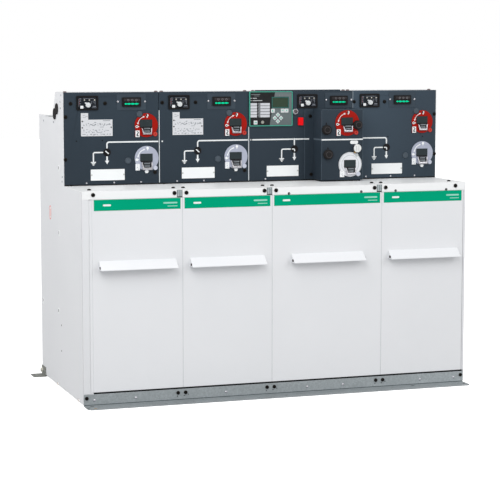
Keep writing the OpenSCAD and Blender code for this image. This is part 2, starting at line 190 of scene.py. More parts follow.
def surface(name, light, dark, tone_mm, grain_mm=2, depth_mm=0.01, rough=(0.4, 0.5), **shader):
    """A coated or moulded skin: a slow drift between two tones and a fine raised grain."""
    shader.setdefault("specular_ior_level", 0.12)
    mat, bsdf, place = start_material(name, **shader)
    tone = add(mat, "TexNoise", {"Vector": place, "Scale": 1 / (tone_mm * MM), "Detail": 4.0})
    shade = add(
        mat, "Mix", {"Factor": tone.outputs["Fac"], 6: linear(dark), 7: linear(light)}, data_type="RGBA"
    )
    link(mat, shade.outputs[2], bsdf, "Base Color")
    grain = add(mat, "TexNoise", {"Vector": place, "Scale": 1 / (grain_mm * MM), "Detail": 2.0})
    sheen = add(mat, "MapRange", {"Value": tone.outputs["Fac"], "To Min": rough[0], "To Max": rough[1]})
    link(mat, sheen.outputs["Result"], bsdf, "Roughness")
    bump = add(mat, "Bump", {"Height": grain.outputs["Fac"], "Strength": 0.6, "Distance": depth_mm * MM})
    link(mat, bump.outputs["Normal"], bsdf, "Normal")
    return mat


def spangled_zinc(name, light, dark, cell_mm):
    """Hot-dip zinc: flat crystals a few millimetres across, of differing grey and gloss, with dull stains."""
    mat, bsdf, place = start_material(name, metallic=0.35)
    cells = add(mat, "TexVoronoi", {"Vector": place, "Scale": 1 / (cell_mm * MM)})
    grey = add(mat, "SeparateColor", {"Color": cells.outputs["Color"]})
    stain = add(mat, "TexNoise", {"Vector": place, "Scale": 9.0, "Detail": 6.0})
    level = add(mat, "Math", {0: grey.outputs[0], 1: stain.outputs["Fac"]}, operation="MULTIPLY")
    tones = add(mat, "ValToRGB", {"Fac": level.outputs[0]})
    tones.color_ramp.elements[0].color = linear(dark)
    tones.color_ramp.elements[1].color = linear(light)
    tones.color_ramp.elements[1].position = 0.6
    link(mat, tones.outputs["Color"], bsdf, "Base Color")
    gloss = add(mat, "MapRange", {"Value": grey.outputs[1], "To Min": 0.42, "To Max": 0.6})
    link(mat, gloss.outputs["Result"], bsdf, "Roughness")
    bump = add(mat, "Bump", {"Height": stain.outputs["Fac"], "Strength": 0.3, "Distance": 0.4 * MM})
    link(mat, bump.outputs["Normal"], bsdf, "Normal")
    return mat


def brushed(name, light, dark, rough, stretch=(1.0, 1.0, 30.0)):
    """Sheet metal with fine grinding lines, which catch the light along one direction."""
    mat, bsdf, place = start_material(name, metallic=1.0)
    lines = add(mat, "Mapping", {"Vector": place, "Scale": stretch})
    noise = add(mat, "TexNoise", {"Vector": lines.outputs[0], "Scale": 60.0, "Detail": 6.0})
    shade = add(
        mat, "Mix", {"Factor": noise.outputs["Fac"], 6: linear(dark), 7: linear(light)}, data_type="RGBA"
    )
    link(mat, shade.outputs[2], bsdf, "Base Color")
    sheen = add(mat, "MapRange", {"Value": noise.outputs["Fac"], "To Min": rough[0], "To Max": rough[1]})
    link(mat, sheen.outputs["Result"], bsdf, "Roughness")
    bump = add(mat, "Bump", {"Height": noise.outputs["Fac"], "Strength": 0.3, "Distance": 0.1 * MM})
    link(mat, bump.outputs["Normal"], bsdf, "Normal")
    return mat


# Polyester powder coat on steel: satin, with an orange peel about 1.5 mm across, drawn at 3 mm to show
surface("white_powder_coat", "#ECEDF0", "#E6E8EB", 260, 3, 0.05, (0.34, 0.44), specular_ior_level=0.3)
surface("slate_powder_coat", "#36414B", "#2F3A44", 180, 2, 0.10, (0.42, 0.54))
# Hot-dip galvanised steel: zinc spangle of 6 to 10 mm
spangled_zinc("galvanised_steel", "#B2B8BA", "#949A9C", 5)
# Cold-rolled stainless sheet, mill finish
brushed("stainless_tank_steel", "#D2D5D6", "#B4B8BA", (0.25, 0.4))
# Cast vinyl film, glossy and flat
surface("green_label_film", "#00A87F", "#009F75", 90, 14, 0.01, (0.22, 0.3), specular_ior_level=0.03)
# Moulded ABS with a spark-eroded texture
surface("black_plastic", "#201F20", "#161516", 20, 1.2, 0.04, (0.38, 0.5))
surface("white_plastic", "#F3F5F6", "#E4E7E9", 12, 1.2, 0.02, (0.25, 0.35))
surface("slate_plastic", "#3E4852", "#363F48", 40, 1.2, 0.04, (0.45, 0.55))
# Glossy polycarbonate
surface("red_plastic", "#A91C12", "#98170E", 30, 1.5, 0.02, (0.28, 0.38), specular_ior_level=0.08)
surface("lilac_grey_plastic", "#B4B9C9", "#A3A8B8", 30, 1.5, 0.02, (0.35, 0.45))
# Bright zinc plate, faintly iridescent
brushed("plated_steel", "#DEDCE0", "#B9B9C0", (0.22, 0.34), (1.0, 1.0, 4.0))
surface("teal_plastic", "#52AF99", "#469F8A", 25, 1.2, 0.03, (0.38, 0.48))
# Silicone keys
surface("key_rubber", "#D9DDDE", "#CCD0D2", 8, 0.8, 0.02, (0.5, 0.6))
surface("signal_red_plastic", "#FF1B22", "#FA161D", 12, 1.2, 0.02, (0.22, 0.3), specular_ior_level=0.05)
# EPDM rubber, dull and slightly dusty
surface("black_rubber", "#2A2828", "#191818", 9, 1.0, 0.05, (0.55, 0.7))
# Printed aluminium plate under a satin laminate
surface("label_plate", "#F3F5F5", "#EAEDEE", 60, 2, 0.01, (0.3, 0.38))

# Finishes of small pieces
INK_WHITE = surface("white_ink", "#F8FAFA", "#ECEFF0", 40, 1.5, 0.02, (0.4, 0.5))
INK_GREY = surface("grey_ink", "#A9AEB2", "#93989D", 15, 1.5, 0.01, (0.45, 0.55))
INK_DARK = surface("dark_ink", "#33383C", "#24282B", 15, 1.5, 0.01, (0.45, 0.55))
INK_TEAL = surface("teal_ink", "#4DBEA5", "#39A98F", 8, 1.5, 0.01, (0.45, 0.55))
PALE_GREEN = surface("pale_green_ink", "#A9DFCF", "#8AD0BB", 30, 1.5, 0.01, (0.35, 0.45))
# Steel screws with black oxide: near black, with oily gloss on the head
BLACK_STEEL = surface("black_oxide_steel", "#25221F", "#131110", 4, 0.9, 0.03, (0.3, 0.45), metallic=0.4)
# Membrane front of the relay: black and grey polyester film
FILM_BLACK = surface("black_membrane", "#2A2B2C", "#1D1E1F", 30, 1.5, 0.01, (0.25, 0.36))
FILM_GREY = surface("grey_membrane", "#757F80", "#5C6668", 70, 1.5, 0.01, (0.4, 0.5))
FILM_NAVY = surface("navy_membrane", "#20252C", "#181C22", 20, 1.5, 0.01, (0.3, 0.4))
LIGHT_RED = surface("light_red_plastic", "#C84A40", "#B93A31", 10, 1.2, 0.02, (0.3, 0.4))
# Liquid-crystal screen: olive glass over a grey reflector
LCD = surface("lcd_glass", "#374938", "#2D3F31", 14, 4, 0.005, (0.12, 0.18), coat_weight=0.3)
SLOT_DARK = surface("slot_shadow", "#1B1E20", "#121415", 8, 2, 0.01, (0.7, 0.8))
SLOT_RUST = surface("rusted_slot_edge", "#B08A58", "#8E6A3C", 5, 1.5, 0.06, (0.7, 0.85))
# Green LEDs behind a clear bar, lit
LED, led_shader, _ = start_material("green_led", roughness=0.3, specular_ior_level=0.05)
led_shader.inputs["Base Color"].default_value = linear("#00B07E")
led_shader.inputs["Emission Color"].default_value = linear("#00DCA6")
led_shader.inputs["Emission Strength"].default_value = 0.42


# ---- Modelling helpers: primitives shaped in edit mode, then copied to their places ----


def clear_selection():
    if bpy.context.mode != "OBJECT":
        bpy.ops.object.mode_set(mode="OBJECT")
    bpy.ops.object.select_all(action="DESELECT")


def select_only(piece):
    clear_selection()
    piece.select_set(True)
    bpy.context.view_layer.objects.active = piece


def edit(piece):
    select_only(piece)
    bpy.ops.object.mode_set(mode="EDIT")


def leave():
    bpy.ops.object.mode_set(mode="OBJECT")


def select_all():
    bpy.ops.mesh.select_all(action="SELECT")


def pick(kind, test):
    """Selects the faces, edges or corners whose middle and normal pass the test."""
    bpy.ops.mesh.select_mode(type=kind)
    bpy.ops.mesh.select_all(action="DESELECT")
    data = bpy.context.object.data
    mesh = bmesh.from_edit_mesh(data)
    mesh.normal_update()
    if kind == "FACE":
        for face in mesh.faces:
            face.select_set(test(face.calc_center_median(), face.normal))
    elif kind == "EDGE":
        for edge in mesh.edges:
            a, b = edge.verts[0].co, edge.verts[1].co
            edge.select_set(test((a + b) / 2, (b - a).normalized()))
    else:
        for vert in mesh.verts:
            vert.select_set(test(vert.co, vert.normal))
    bmesh.update_edit_mesh(data)


def facing_up(_, normal):
    return normal.z > 0.9


def upright(_, direction):
    return abs(direction.z) > 0.9


def extrude(rise, scale=None):
    """Extrudes the selection up by rise millimetres, then scales it about the origin."""
    bpy.ops.mesh.extrude_region_move(TRANSFORM_OT_translate={"value": (0, 0, rise * MM)})
    if scale is not None:
        bpy.ops.transform.resize(value=(scale, scale, 1), center_override=(0, 0, 0))


def closed(piece):
    """Turns all faces outwards and leaves edit mode."""
    select_all()
    bpy.ops.mesh.normals_make_consistent(inside=False)
    leave()
    return piece


def thickened(piece, t):
    """Gives a flat outline its thickness."""
    select_all()
    extrude(t)
    return closed(piece)


def new_plane(w=1 / MM, h=1 / MM):
    """A flat rectangle about the origin, in edit mode and selected."""
    clear_selection()
    bpy.ops.mesh.primitive_plane_add(size=1)
    piece = bpy.context.object
    edit(piece)
    select_all()
    bpy.ops.transform.resize(value=(w * MM, h * MM, 1), center_override=(0, 0, 0))
    return piece


def bare_edge(*ends):
    """A new piece that is one edge between its two ends, in edit mode and selected."""
    piece = new_plane()
    pick("VERT", lambda co, _: co.x > 0)
    bpy.ops.mesh.delete(type="VERT")
    mesh = bmesh.from_edit_mesh(piece.data)
    mesh.verts.ensure_lookup_table()
    for vert, end in zip(mesh.verts, ends):
        vert.co = end * MM
    bmesh.update_edit_mesh(piece.data)
    bpy.ops.mesh.select_mode(type="EDGE")
    select_all()
    return piece


def block(w, h, t, corner=0.0, edge=0.3, x=0.0, y=0.0, z=0.0):
    """A flat piece face up, with round corners and a softened upper edge, in millimetres."""
    clear_selection()
    bpy.ops.mesh.primitive_cube_add(size=1, scale=(w * MM, h * MM, t * MM), location=(0, 0, t * MM / 2))
    piece = bpy.context.object
    bpy.ops.object.transform_apply(location=True, rotation=True, scale=True)
    edit(piece)
    if corner:
        pick("EDGE", upright)
        bpy.ops.mesh.bevel(offset=corner * MM, segments=4, affect="EDGES")
    if edge:
        pick("FACE", facing_up)
        bpy.ops.mesh.bevel(offset=edge * MM, segments=2, affect="EDGES")
    leave()
    piece.data.transform(Matrix.Translation((x * MM, y * MM, z * MM)))
    return piece


def sheet(w, h, t, corner=0.0, **place):
    """A block with sharp upper edges, for films, seals and printing."""
    return block(w, h, t, corner, 0, **place)


def turned(radius, steps, sides=32):
    """A round piece: a disc, then one extrusion for each (new radius, rise)."""
    clear_selection()
    bpy.ops.mesh.primitive_circle_add(vertices=sides, radius=radius * MM, fill_type="NGON")
    piece = bpy.context.object
    edit(piece)
    bpy.ops.mesh.select_mode(type="FACE")
    select_all()
    current = radius
    for new_radius, rise in steps:
        extrude(rise, new_radius / current)
        current = new_radius
    return closed(piece)


def dress(piece, mat):
    piece.data.materials.clear()
    piece.data.materials.append(mat)


def joined(name, pieces, slot, mat=None, smooth=True):
    """Joins pieces into one named piece of the fixed body, in its slot's finish unless another is given."""
    clear_selection()
    for piece in pieces:
        dress(piece, mat or FINISH[slot])
        piece.select_set(True)
    whole = pieces[0]
    bpy.context.view_layer.objects.active = whole
    if len(pieces) > 1:
        bpy.ops.object.join()
    if smooth:
        select_only(whole)
        bpy.ops.object.shade_smooth_by_angle(angle=math.radians(35))
    whole.name = name
    whole.data.name = name
    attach(whole, "root")
    return whole


def copies(master, places):
    """Puts a copy of the finished piece, with its own mesh, at each place, and drops the master."""
    made = []
    for place in places:
        piece = master.copy()
        piece.data = master.data.copy()
        piece.data.transform(place)
        bpy.context.scene.collection.objects.link(piece)
        made.append(piece)
    data = master.data
    bpy.data.objects.remove(master)
    bpy.data.meshes.remove(data)
    return made


def joined_flat(name, pieces, slot, mat=None):
    return joined(name, pieces, slot, mat, smooth=False)


def put(name, master, places, slot, mat=None, smooth=True):
    """Joins copies of one master, one at each place."""
    return joined(name, copies(master, places), slot, mat, smooth)


def put_flat(name, master, places, slot, mat=None):
    return put(name, master, places, slot, mat, smooth=False)


def bars(rows, t, place):
    """Thin bars, one for each (x, z, width, height), at the places that place(x, z) gives."""
    return [bar for x, z, w, h in rows for bar in copies(sheet(w, h, t), place(x, z))]


def strip(points, width, radius=8.0, thick=0.3):
    """A painted line of one width through the points, face up, with its corners rounded by a spin."""
    points = [Vector((x, y, 0)) for x, y in points]
    first = (points[1] - points[0]).normalized()
    across = Vector((-first.y, first.x, 0)) * width / 2
    piece = bare_edge(points[0] + across, points[0] - across)
    here = points[0]
    for index in range(1, len(points)):
        heading = (points[index] - points[index - 1]).normalized()
        end = points[index]
        last = index == len(points) - 1
        stop = end if last else end - heading * radius
        bpy.ops.mesh.extrude_region_move(TRANSFORM_OT_translate={"value": (stop - here) * MM})
        here = stop
        if not last:
            turn_to = (points[index + 1] - end).normalized()
            left_turn = heading.x * turn_to.y - heading.y * turn_to.x > 0
            inward = Vector((-heading.y, heading.x, 0)) * (1 if left_turn else -1)
            quarter = math.radians(-90 if left_turn else 90)
            bpy.ops.mesh.spin(steps=6, angle=quarter, center=(stop + inward * radius) * MM, axis=(0, 0, 1))
            here = end + turn_to * radius
    select_all()
    bpy.ops.mesh.remove_doubles(threshold=0.01 * MM)
    bpy.ops.mesh.normals_make_consistent(inside=False)
    return thickened(piece, thick)


# ---- CAD nodes: finishes, and rounded sheet edges ----

EDGE_MM = {
    "white_powder_coat": 1.2,
    "slate_powder_coat": 0.7,
    "galvanised_steel": 0.6,
    "black_plastic": 0.6,
    "slate_plastic": 0.5,
    "red_plastic": 0.6,
    "lilac_grey_plastic": 0.6,
    "teal_plastic": 1.2,
    "signal_red_plastic": 1.2,
    "label_plate": 0.3,
}
OWN_FINISH = {
    "socket_plugs": surface("grey_plug_plastic", "#505A63", "#464F58", 20, 1.2, 0.04, (0.45, 0.55)),
    "voltage_plates": surface("slate_plate_plastic", "#414C56", "#3A454F", 60, 1.2, 0.04, (0.5, 0.6)),
    "socket_shutters": surface("dark_shutter_plastic", "#333C3F", "#2B3335", 20, 1.2, 0.04, (0.4, 0.5)),
    "frame_posts": spangled_zinc("bright_zinc", "#BCC5C8", "#9AA5A7", 5),
    # The rear feet are weathered, and painted darker as painted shade on their legs
    "rear_feet": spangled_zinc("weathered_zinc_painted_shade", "#9A9C97", "#767873", 5),
}
# The shelves are painted whiter than the panels, as a painted highlight from the light above
SHELF_HIGHLIGHT_COAT = surface(
    "shelf_powder_coat_painted_highlight", "#F9FAFB", "#F4F6F7", 260, 3, 0.05, (0.34, 0.44), specular_ior_level=0.3
)
OWN_FINISH.update({f"shelf_{bay}": SHELF_HIGHLIGHT_COAT for bay in BAYS})


X_AXIS, Y_AXIS, Z_AXIS = 0, 1, 2


def graded(mat, axis, start, end, low, high=1.0, greyed=1.0):
    """Fades the colour of a finish along one axis, from low at start to high at end (metres)."""
    tree = mat.node_tree
    bsdf = tree.nodes["Principled BSDF"]
    place = next(node for node in tree.nodes if node.type == "TEX_COORD").outputs["Object"]
    along = add(mat, "SeparateXYZ", {"Vector": place}).outputs[axis]
    span = {"Value": along, "From Min": start, "From Max": end}
    value = add(mat, "MapRange", {**span, "To Min": low, "To Max": high}).outputs[0]
    hue = add(mat, "MapRange", {**span, "To Min": greyed, "To Max": 1.0}).outputs[0]
    colour = bsdf.inputs["Base Color"].links[0].from_socket
    faded = add(mat, "HueSaturation", {"Color": colour, "Value": value, "Saturation": hue})
    link(mat, faded.outputs[0], bsdf, "Base Color")
    return mat


# The fascia's coat is painted darker towards the shelf, as painted shade; bay 4's plate is painted paler,
# brightest at its upper left, as a painted highlight
graded(FINISH["slate_powder_coat"], Z_AXIS, 0.79, 1.09, 0.76, 1.02)
SLATE_PAINTED_LIGHT = surface("slate_powder_coat_painted_light", "#36414B", "#2F3A44", 180, 2, 0.10, (0.42, 0.54))
SLATE_PAINTED_LIGHT = graded(SLATE_PAINTED_LIGHT, Z_AXIS, 0.79, 1.14, 1.15, 1.5)
OWN_FINISH["fascia_4"] = graded(SLATE_PAINTED_LIGHT, X_AXIS, 0.40, 0.766, 1.18, 0.84)
# The base rail is painted brighter towards its right end, as painted light, and its flange is darker
RAIL_ZINC = spangled_zinc("rail_zinc", "#ACB3B6", "#9AA1A4", 5)
rail_front = panel_y - 10 * MM
RAIL_ZINC = graded(RAIL_ZINC, X_AXIS, 0.2, 0.766, 1.0, 1.16)
OWN_FINISH["base_rail_front"] = graded(RAIL_ZINC, Y_AXIS, rail_front, rail_front + MM, 0.84)

# Side panels are painted darker towards the floor, as painted shade; the breaker's earthing disc stands under
# a pale frosted cover
SIDE_COAT_PAINTED_SHADE = surface(
    "side_powder_coat_painted_shade", "#EAEBEE", "#E4E6E9", 260, 3, 0.05, (0.34, 0.44), specular_ior_level=0.3
)
OWN_FINISH["side_panel_left"] = OWN_FINISH["side_panel_right"] = graded(SIDE_COAT_PAINTED_SHADE, Z_AXIS, 0.1, 0.75, 0.96)
DISCS = surface("lilac_disc_plastic", "#B4B9C9", "#A3A8B8", 30, 1.5, 0.02, (0.35, 0.45))
FRONT_OF_FASCIA = fascia_y - 0.5 * BOX_OUT * MM
OWN_FINISH["earthing_discs"] = graded(DISCS, Y_AXIS, FRONT_OF_FASCIA - MM, FRONT_OF_FASCIA, 1.5, 1.0, 0.25)
for name, node in nodes.items():
    dress(node, OWN_FINISH.get(name, FINISH[slots[name]]))
    weld = node.modifiers.new("weld", "WELD")
    weld.merge_threshold = 0.01 * MM
    if slots[name] in EDGE_MM:
        soft = node.modifiers.new("edge", "BEVEL")
        soft.width = EDGE_MM[slots[name]] * MM
        soft.segments = 2
        soft.limit_method = "ANGLE"
        soft.angle_limit = math.radians(40)
        soft.harden_normals = True

# ---- Screws, rivets and studs ----


def hex_screw(radius, height):
    """Button head with a hexagon socket."""
    head = turned(
        radius, [(radius, height * 0.45), (radius * 0.88, height * 0.35), (radius * 0.6, height * 0.2)], 24
    )
    edit(head)
    pick("FACE", lambda middle, normal: normal.z > 0.9 and middle.z > height * MM * 0.9)
    extrude(0, 0.75)
    extrude(-height * 0.6, 0.98)
    leave()
    return head


def screws(name, radius, height, spots):
    put(name, hex_screw(radius, height), spots, "black_plastic", BLACK_STEEL)


FASCIA_SCREWS = (
    [(29, 1100), (162, 1100), (9, 1050), (7, 890), (356, 836)],
    [(14, 1101), (147, 1101), (346, 835)],
    [(256, 1043), (261, 814)],
    [(8, 1098), (139, 1097), (357, 1046), (359, 886)],
)
fascia_spots = [
    front(bay_x[bay] + x, z, 1.8 if bay == 2 else 0) for bay in range(4) for x, z in FASCIA_SCREWS[bay]
]
screws("fascia_screws", 7, 4, fascia_spots)

# Screws in the shelf: through the lip, and down through the top behind it
CORNERS_X = [44, right - 44]
LIP_DROP, DECK_IN = 13, 60
lip_x = [joint + dx for joint in door_joints for dx in (-31, 15)]
deck_x = [joint + dx for joint in door_joints for dx in (-18, 20)]
lip_spots = [on_door(x, shelf_z - LIP_DROP) for x in lip_x + CORNERS_X]
deck_spots = [flat(x, DECK_IN, shelf_z) for x in deck_x + CORNERS_X]
screws("lip_screws", 7.5, 5, lip_spots)
screws("shelf_screws", 7, 5, deck_spots)

# Two low pins on the shelf, right under the fascia's foot
fascia_in = (fascia_y - panel_y) / MM
foot_pins = [flat(x, fascia_in - 4, shelf_z) for x in (27, 391)]
put("fascia_foot_pins", turned(4.5, [(4.5, 3.4), (3.2, 0.8)], 16), foot_pins, "black_plastic", BLACK_STEEL)

door_screw_x = (panel_from[2] + 66, panel_to[2] - 85, panel_from[3] + 56, panel_to[3] - 73)
door_screws = [on_door(x, panel_top + 5, -1) for x in door_screw_x]
screws("panel_top_screws", 5, 3, door_screws)

WEB_Z = 30
web_x = [joint + dx for joint in door_joints for dx in (-20, 9)] + [13, right - 12]
screws("rail_screws", 7, 4.5, [on_door(x, WEB_Z) for x in web_x])
stud_spots = [on_door(x, WEB_Z - 8.5) for x in (42, 199, 550, 876, 1023, 1346, 1490)]
put(
    "rail_studs", turned(4.5, [(4.5, 1.2), (3.4, 1.2), (1.6, 0.5)], 16), stud_spots, "galvanised_steel",
    FINISH["plated_steel"]
)

voltage_spots = [
    front(bay_at(bay, VOLTAGE_X[bay]) + dx, VOLTAGE_Z + 1, 1.5) for bay in range(4) for dx in (-53, 53)
]
put("voltage_plate_screws", hex_screw(4, 2.2), voltage_spots, "plated_steel")
FOOT_SCREW_X = [(88, 195, 301), (72, 180, 287), (71,), (61, 168, 273)]
foot_marks = [front(start + x, fascia_foot + 6) for start, xs in zip(bay_x, FOOT_SCREW_X) for x in xs]
put("fascia_foot_screws", hex_screw(3.2, 1.4), foot_marks, "plated_steel")

TOP_SCREWS = (10, 364, 386, 722, 755, 1133, 1152, 1504)
top_spots = [flat(x, 292, top_z) for x in TOP_SCREWS]
BRONZED = surface("bronzed_steel", "#8E7F80", "#6B5C5D", 5, 1.5, 0.03, (0.3, 0.4), metallic=0.4)
put("top_screws", turned(7, [(7, 2), (5.5, 2), (2, 0.6)], 20), top_spots, "plated_steel", BRONZED)
foot_bolt = turned(11, [(11, 1.6), (8, 0), (8, 5), (7, 0.8)], 24)
put(
    "foot_bolts", foot_bolt, both_sides(695, 20, 3), "plated_steel",
    surface("bright_bolt_zinc", "#DAD9CF", "#C4C3BA", 6, 1.5, 0.02, (0.25, 0.35), metallic=0.2)
)
rear_spots = [rear(x, z) for x in (24, 372, 733, 1167, 1508) for z in (40, 290, 540, 790, 1020)]
put("rear_screws", turned(6.5, [(6.5, 2), (5, 1.4), (2, -0.8)], 20), rear_spots, "plated_steel")

# ---- Painted shade in the gaps, and marks ----

GAP_SHADE_GREY = surface("grey_gap_shade", "#D3D5D8", "#C4C7CA", 12, 2, 0.03, (0.6, 0.7))


def filler(start, end, low, high):
    """Fills a gap beside the panels, a little behind their faces, with a sheet in the gap's painted shade."""
    return copies(sheet(end - start, high - low, 2), [on_door((start + end) / 2, (low + high) / 2, -2.7)])


# Grey sheets in the gaps between the cable panels and above them: painted shade in the gaps
door_gap_strips = []
for start, end in zip(panel_to[:3], panel_from[1:]):
    door_gap_strips += filler(start + 0.05, end - 0.05, sill + 0.2, panel_top - 0.2)
door_gap_strips += filler(panel_from[0], panel_to[3], panel_top + 0.1, panel_top + 1.4)
joined_flat("door_gap_shades", door_gap_strips, "white_powder_coat", GAP_SHADE_GREY)
# Pale grey sheets in the two gaps beside the corner post and below it: painted shade in the gaps
POST_X, POST_GAP = 28.1, 0.8
fillers = filler(POST_X, POST_X + POST_GAP, sill + 0.2, panel_top - 0.2)
fillers += filler(panel_from[0] - 1.9, panel_from[0] - 0.1, sill + 0.2, panel_top - 0.2)
fillers += filler(POST_X, panel_from[0] - 0.1, rail_top + 0.2, sill - 0.3)
joined_flat(
    "corner_gap_shades", fillers, "white_powder_coat",
    surface("pale_gap_shade", "#E4E5E8", "#DADCDF", 12, 2, 0.03, (0.6, 0.7))
)
# A black sheet behind the gap between the panels and the rail: painted shadow in the gap
dark_gap = sheet(right - 46, sill - rail_top + 6, 1.5)
put_flat("sill_gap_shadow", dark_gap, [on_door(right / 2 + 17, (sill + rail_top) / 2, -6.5)], "black_rubber")

# A dark strip along the rail's fold is painted shadow; the same dark zinc draws the lines down the latch
# plates
DARK_ZINC = surface("dark_zinc", "#5E676A", "#464E51", 14, 3, 0.03, (0.5, 0.6))
put_flat(
    "rail_fold_shadow", sheet(right - 6, 2.6, 0.2), [on_door(right / 2, 4.6)], "galvanised_steel", DARK_ZINC
)
FLANGE_MARKS = ((9, 43, 20), (28, 19, 0), (1515, 44, 30), (1306, 22, 0))
dark_spots = [flat(x, -y, 3, turn) for x, y, turn in FLANGE_MARKS]
put_flat("flange_marks", sheet(13, 7, 0.15, 2), dark_spots, "galvanised_steel", SLOT_DARK)
# Painted shadow under the levelling slots, and small dark cuts in the web beside the joint screws
slot_pads = [flat(start + x, -y, 0.3) for start in bay_x[1:] for x, y in ((-70, 50), (-28, 60), (40, 42))]
WEB_CUTS = ((-23, 17, 80), (4, 18, 0), (19, 23, 120))
cuts = [on_door(joint + dx, z, 0, turn) for joint in door_joints for dx, z, turn in WEB_CUTS]
pads = copies(sheet(13.6, 7.6, 1.2, 3.5), slot_pads) + copies(sheet(6, 2.4, 0.15, 1), cuts)
joined_flat("slot_shadows", pads, "galvanised_steel", SLOT_DARK)
# Rust on the edge of one slot, and on the two cuts in the foot of each side panel
rust = copies(sheet(12, 7, 0.15, 2), [flat(31, -60, 3, 10)])
for y in (77, 427):
    rust += bars([(y + 9, 10, 7, 8), (y - 1, 7.4, 20, 2.6)], 0.15, lambda y, z: both_sides(y, z, -0.5))
joined_flat("rust_marks", rust, "galvanised_steel", SLOT_RUST)

# Open lower corner of each handle's folded end, and the lines down each latch plate
ends = []
for handle in (f"handle_{bay}" for bay in BAYS):
    ends += [side(-18, heights(handle)[0] + 9, 0, 0, flip, sides(handle)[flip]) for flip in (False, True)]
put_flat(
    "handle_end_holes", sheet(17, 9, 0.15, 2), ends, "black_plastic",
    surface("shaded_hole", "#4A4041", "#332C2D", 6, 2, 0.01, (0.6, 0.7))
)
line_z = shelf_z - LIP_DROP - 1
LINE_ROWS = [(-10, line_z, 1.4, 22), (-1.6, line_z, 1.2, 22), (-19.5, line_z, 1.2, 22)]
plate_lines = bars(LINE_ROWS, 0.15, lambda dx, z: [on_door(joint + dx, z, -0.5) for joint in door_joints])
joined_flat("latch_plate_lines", plate_lines, "galvanised_steel", DARK_ZINC)

# ---- Mimic diagram ----


mimic = []


def draw(bay, *points, width=5.2, radius=8.0, out=0.0):
    """Adds a painted line to the diagram, through points from its bay's left and the floor."""
    piece = strip(points, width, radius)
    piece.data.transform(front(bay_x[bay] + BAY_SHIFT[bay], 0, out))
    mimic.append(piece)


def arrow_head(half, length):
    """Flat triangle that points down."""
    clear_selection()
    bpy.ops.mesh.primitive_circle_add(vertices=3, radius=1, fill_type="NGON", rotation=(0, 0, math.pi))
    piece = bpy.context.object
    bpy.ops.object.transform_apply(location=False, rotation=True, scale=False)
    edit(piece)
    select_all()
    bpy.ops.transform.resize(value=(half / 0.866 * MM, length / 1.5 * MM, 1), center_override=(0, 0, 0))
    return thickened(piece, 0.3)


for bay in range(4):
    x = INDICATOR_X[bay]
    arm = x - 53
    drop_top, drop_end = INDICATOR_Z + 15, INDICATOR_Z - 40
    if bay < 2:
        bus_end = bay_x[bay + 1] - bay_x[bay] - BAY_SHIFT[bay] - 2
        draw(bay, (x, drop_top), (x, BUS_Z), (bus_end, BUS_Z))
        draw(bay + 1, (11 - BAY_SHIFT[bay + 1], BUS_Z), (16 - BAY_SHIFT[bay + 1], BUS_Z))
    elif bay == 2:
        draw(bay, (8, BUS_Z), (x - 3.5, BUS_Z))
        draw(bay, (x, drop_top), (x, BUS_Z + 3.5))
        draw(bay, (x + 3.5, BUS_Z), (230, BUS_Z))
        draw(bay, (230.5, BUS_Z), (252, BUS_Z), out=2)
        draw(bay, (BOX_X + 0.5, BUS_Z), (BOX_X + BOX_W - 0.5, BUS_Z), out=BOX_OUT)
    else:
        draw(bay, (x, drop_top), (x, BUS_Z), (1 - BAY_SHIFT[bay], BUS_Z))
    draw(bay, (x - 15, INDICATOR_Z), (arm, INDICATOR_Z), (arm, INDICATOR_Z - 36), width=4.8, radius=6)
    draw(bay, (x, INDICATOR_Z - 15), (x, drop_end + 8), width=6)
    mimic += copies(arrow_head(8, 14), [front(bay_at(bay, x), drop_end + 4)])
    for half, dz in ((10, 37), (6.5, 42), (3, 47)):
        draw(bay, (arm - half, INDICATOR_Z - dz), (arm + half, INDICATOR_Z - dz), width=3.6)
    # The indicator's own pointer, on its black drum: open in the first two bays, earthed in the others
    if bay < 2:
        mimic += copies(sheet(17, 4, 0.3, 1), [front(bay_at(bay, x - 0.5), INDICATOR_Z, 2.6, -40)])
    else:
        draw(bay, (x - 11, INDICATOR_Z), (x, INDICATOR_Z), (x, INDICATOR_Z - 9), width=4, radius=4, out=2.6)
joined_flat(
    "mimic_lines", mimic, "label_plate",
    surface("mimic_paint", "#EEF1F2", "#E4E8E9", 40, 1.5, 0.02, (0.4, 0.5))
)

# ---- Switch and earthing devices ----

SWITCH_R, EARTH_R = 45.5, 47
BOX_SWITCH_R, BOX_EARTH_R = 50, 48

# Each device is its kind, its place, how far out its base stands, and its disc's radius
devices = []
for bay in PLAIN_BAYS:
    devices.append(("switch", bay_at(bay, DISC_X), SWITCH_Z, 0, SWITCH_R))
    devices.append(("earth", bay_at(bay, DISC_X + 1), EARTH_Z, 0, EARTH_R))
box_left = bay_x[2] + BOX_X
devices.append(("switch", box_left + 107, SWITCH_Z + 2, BOX_OUT, BOX_SWITCH_R))
breaker_earth = ("earth", box_left + 120, EARTH_Z - 34, BOX_OUT, BOX_EARTH_R)
devices.append(breaker_earth)
switches = [d for d in devices if d[0] == "switch"]
earths = [d for d in devices if d[0] == "earth"]
DISC_T = 3


def on_box(x, z, out=0.0, turn=0.0):
    """Stands a face-up piece on the front of the breaker box."""
    return front(box_left + x, z, BOX_OUT + out, turn)


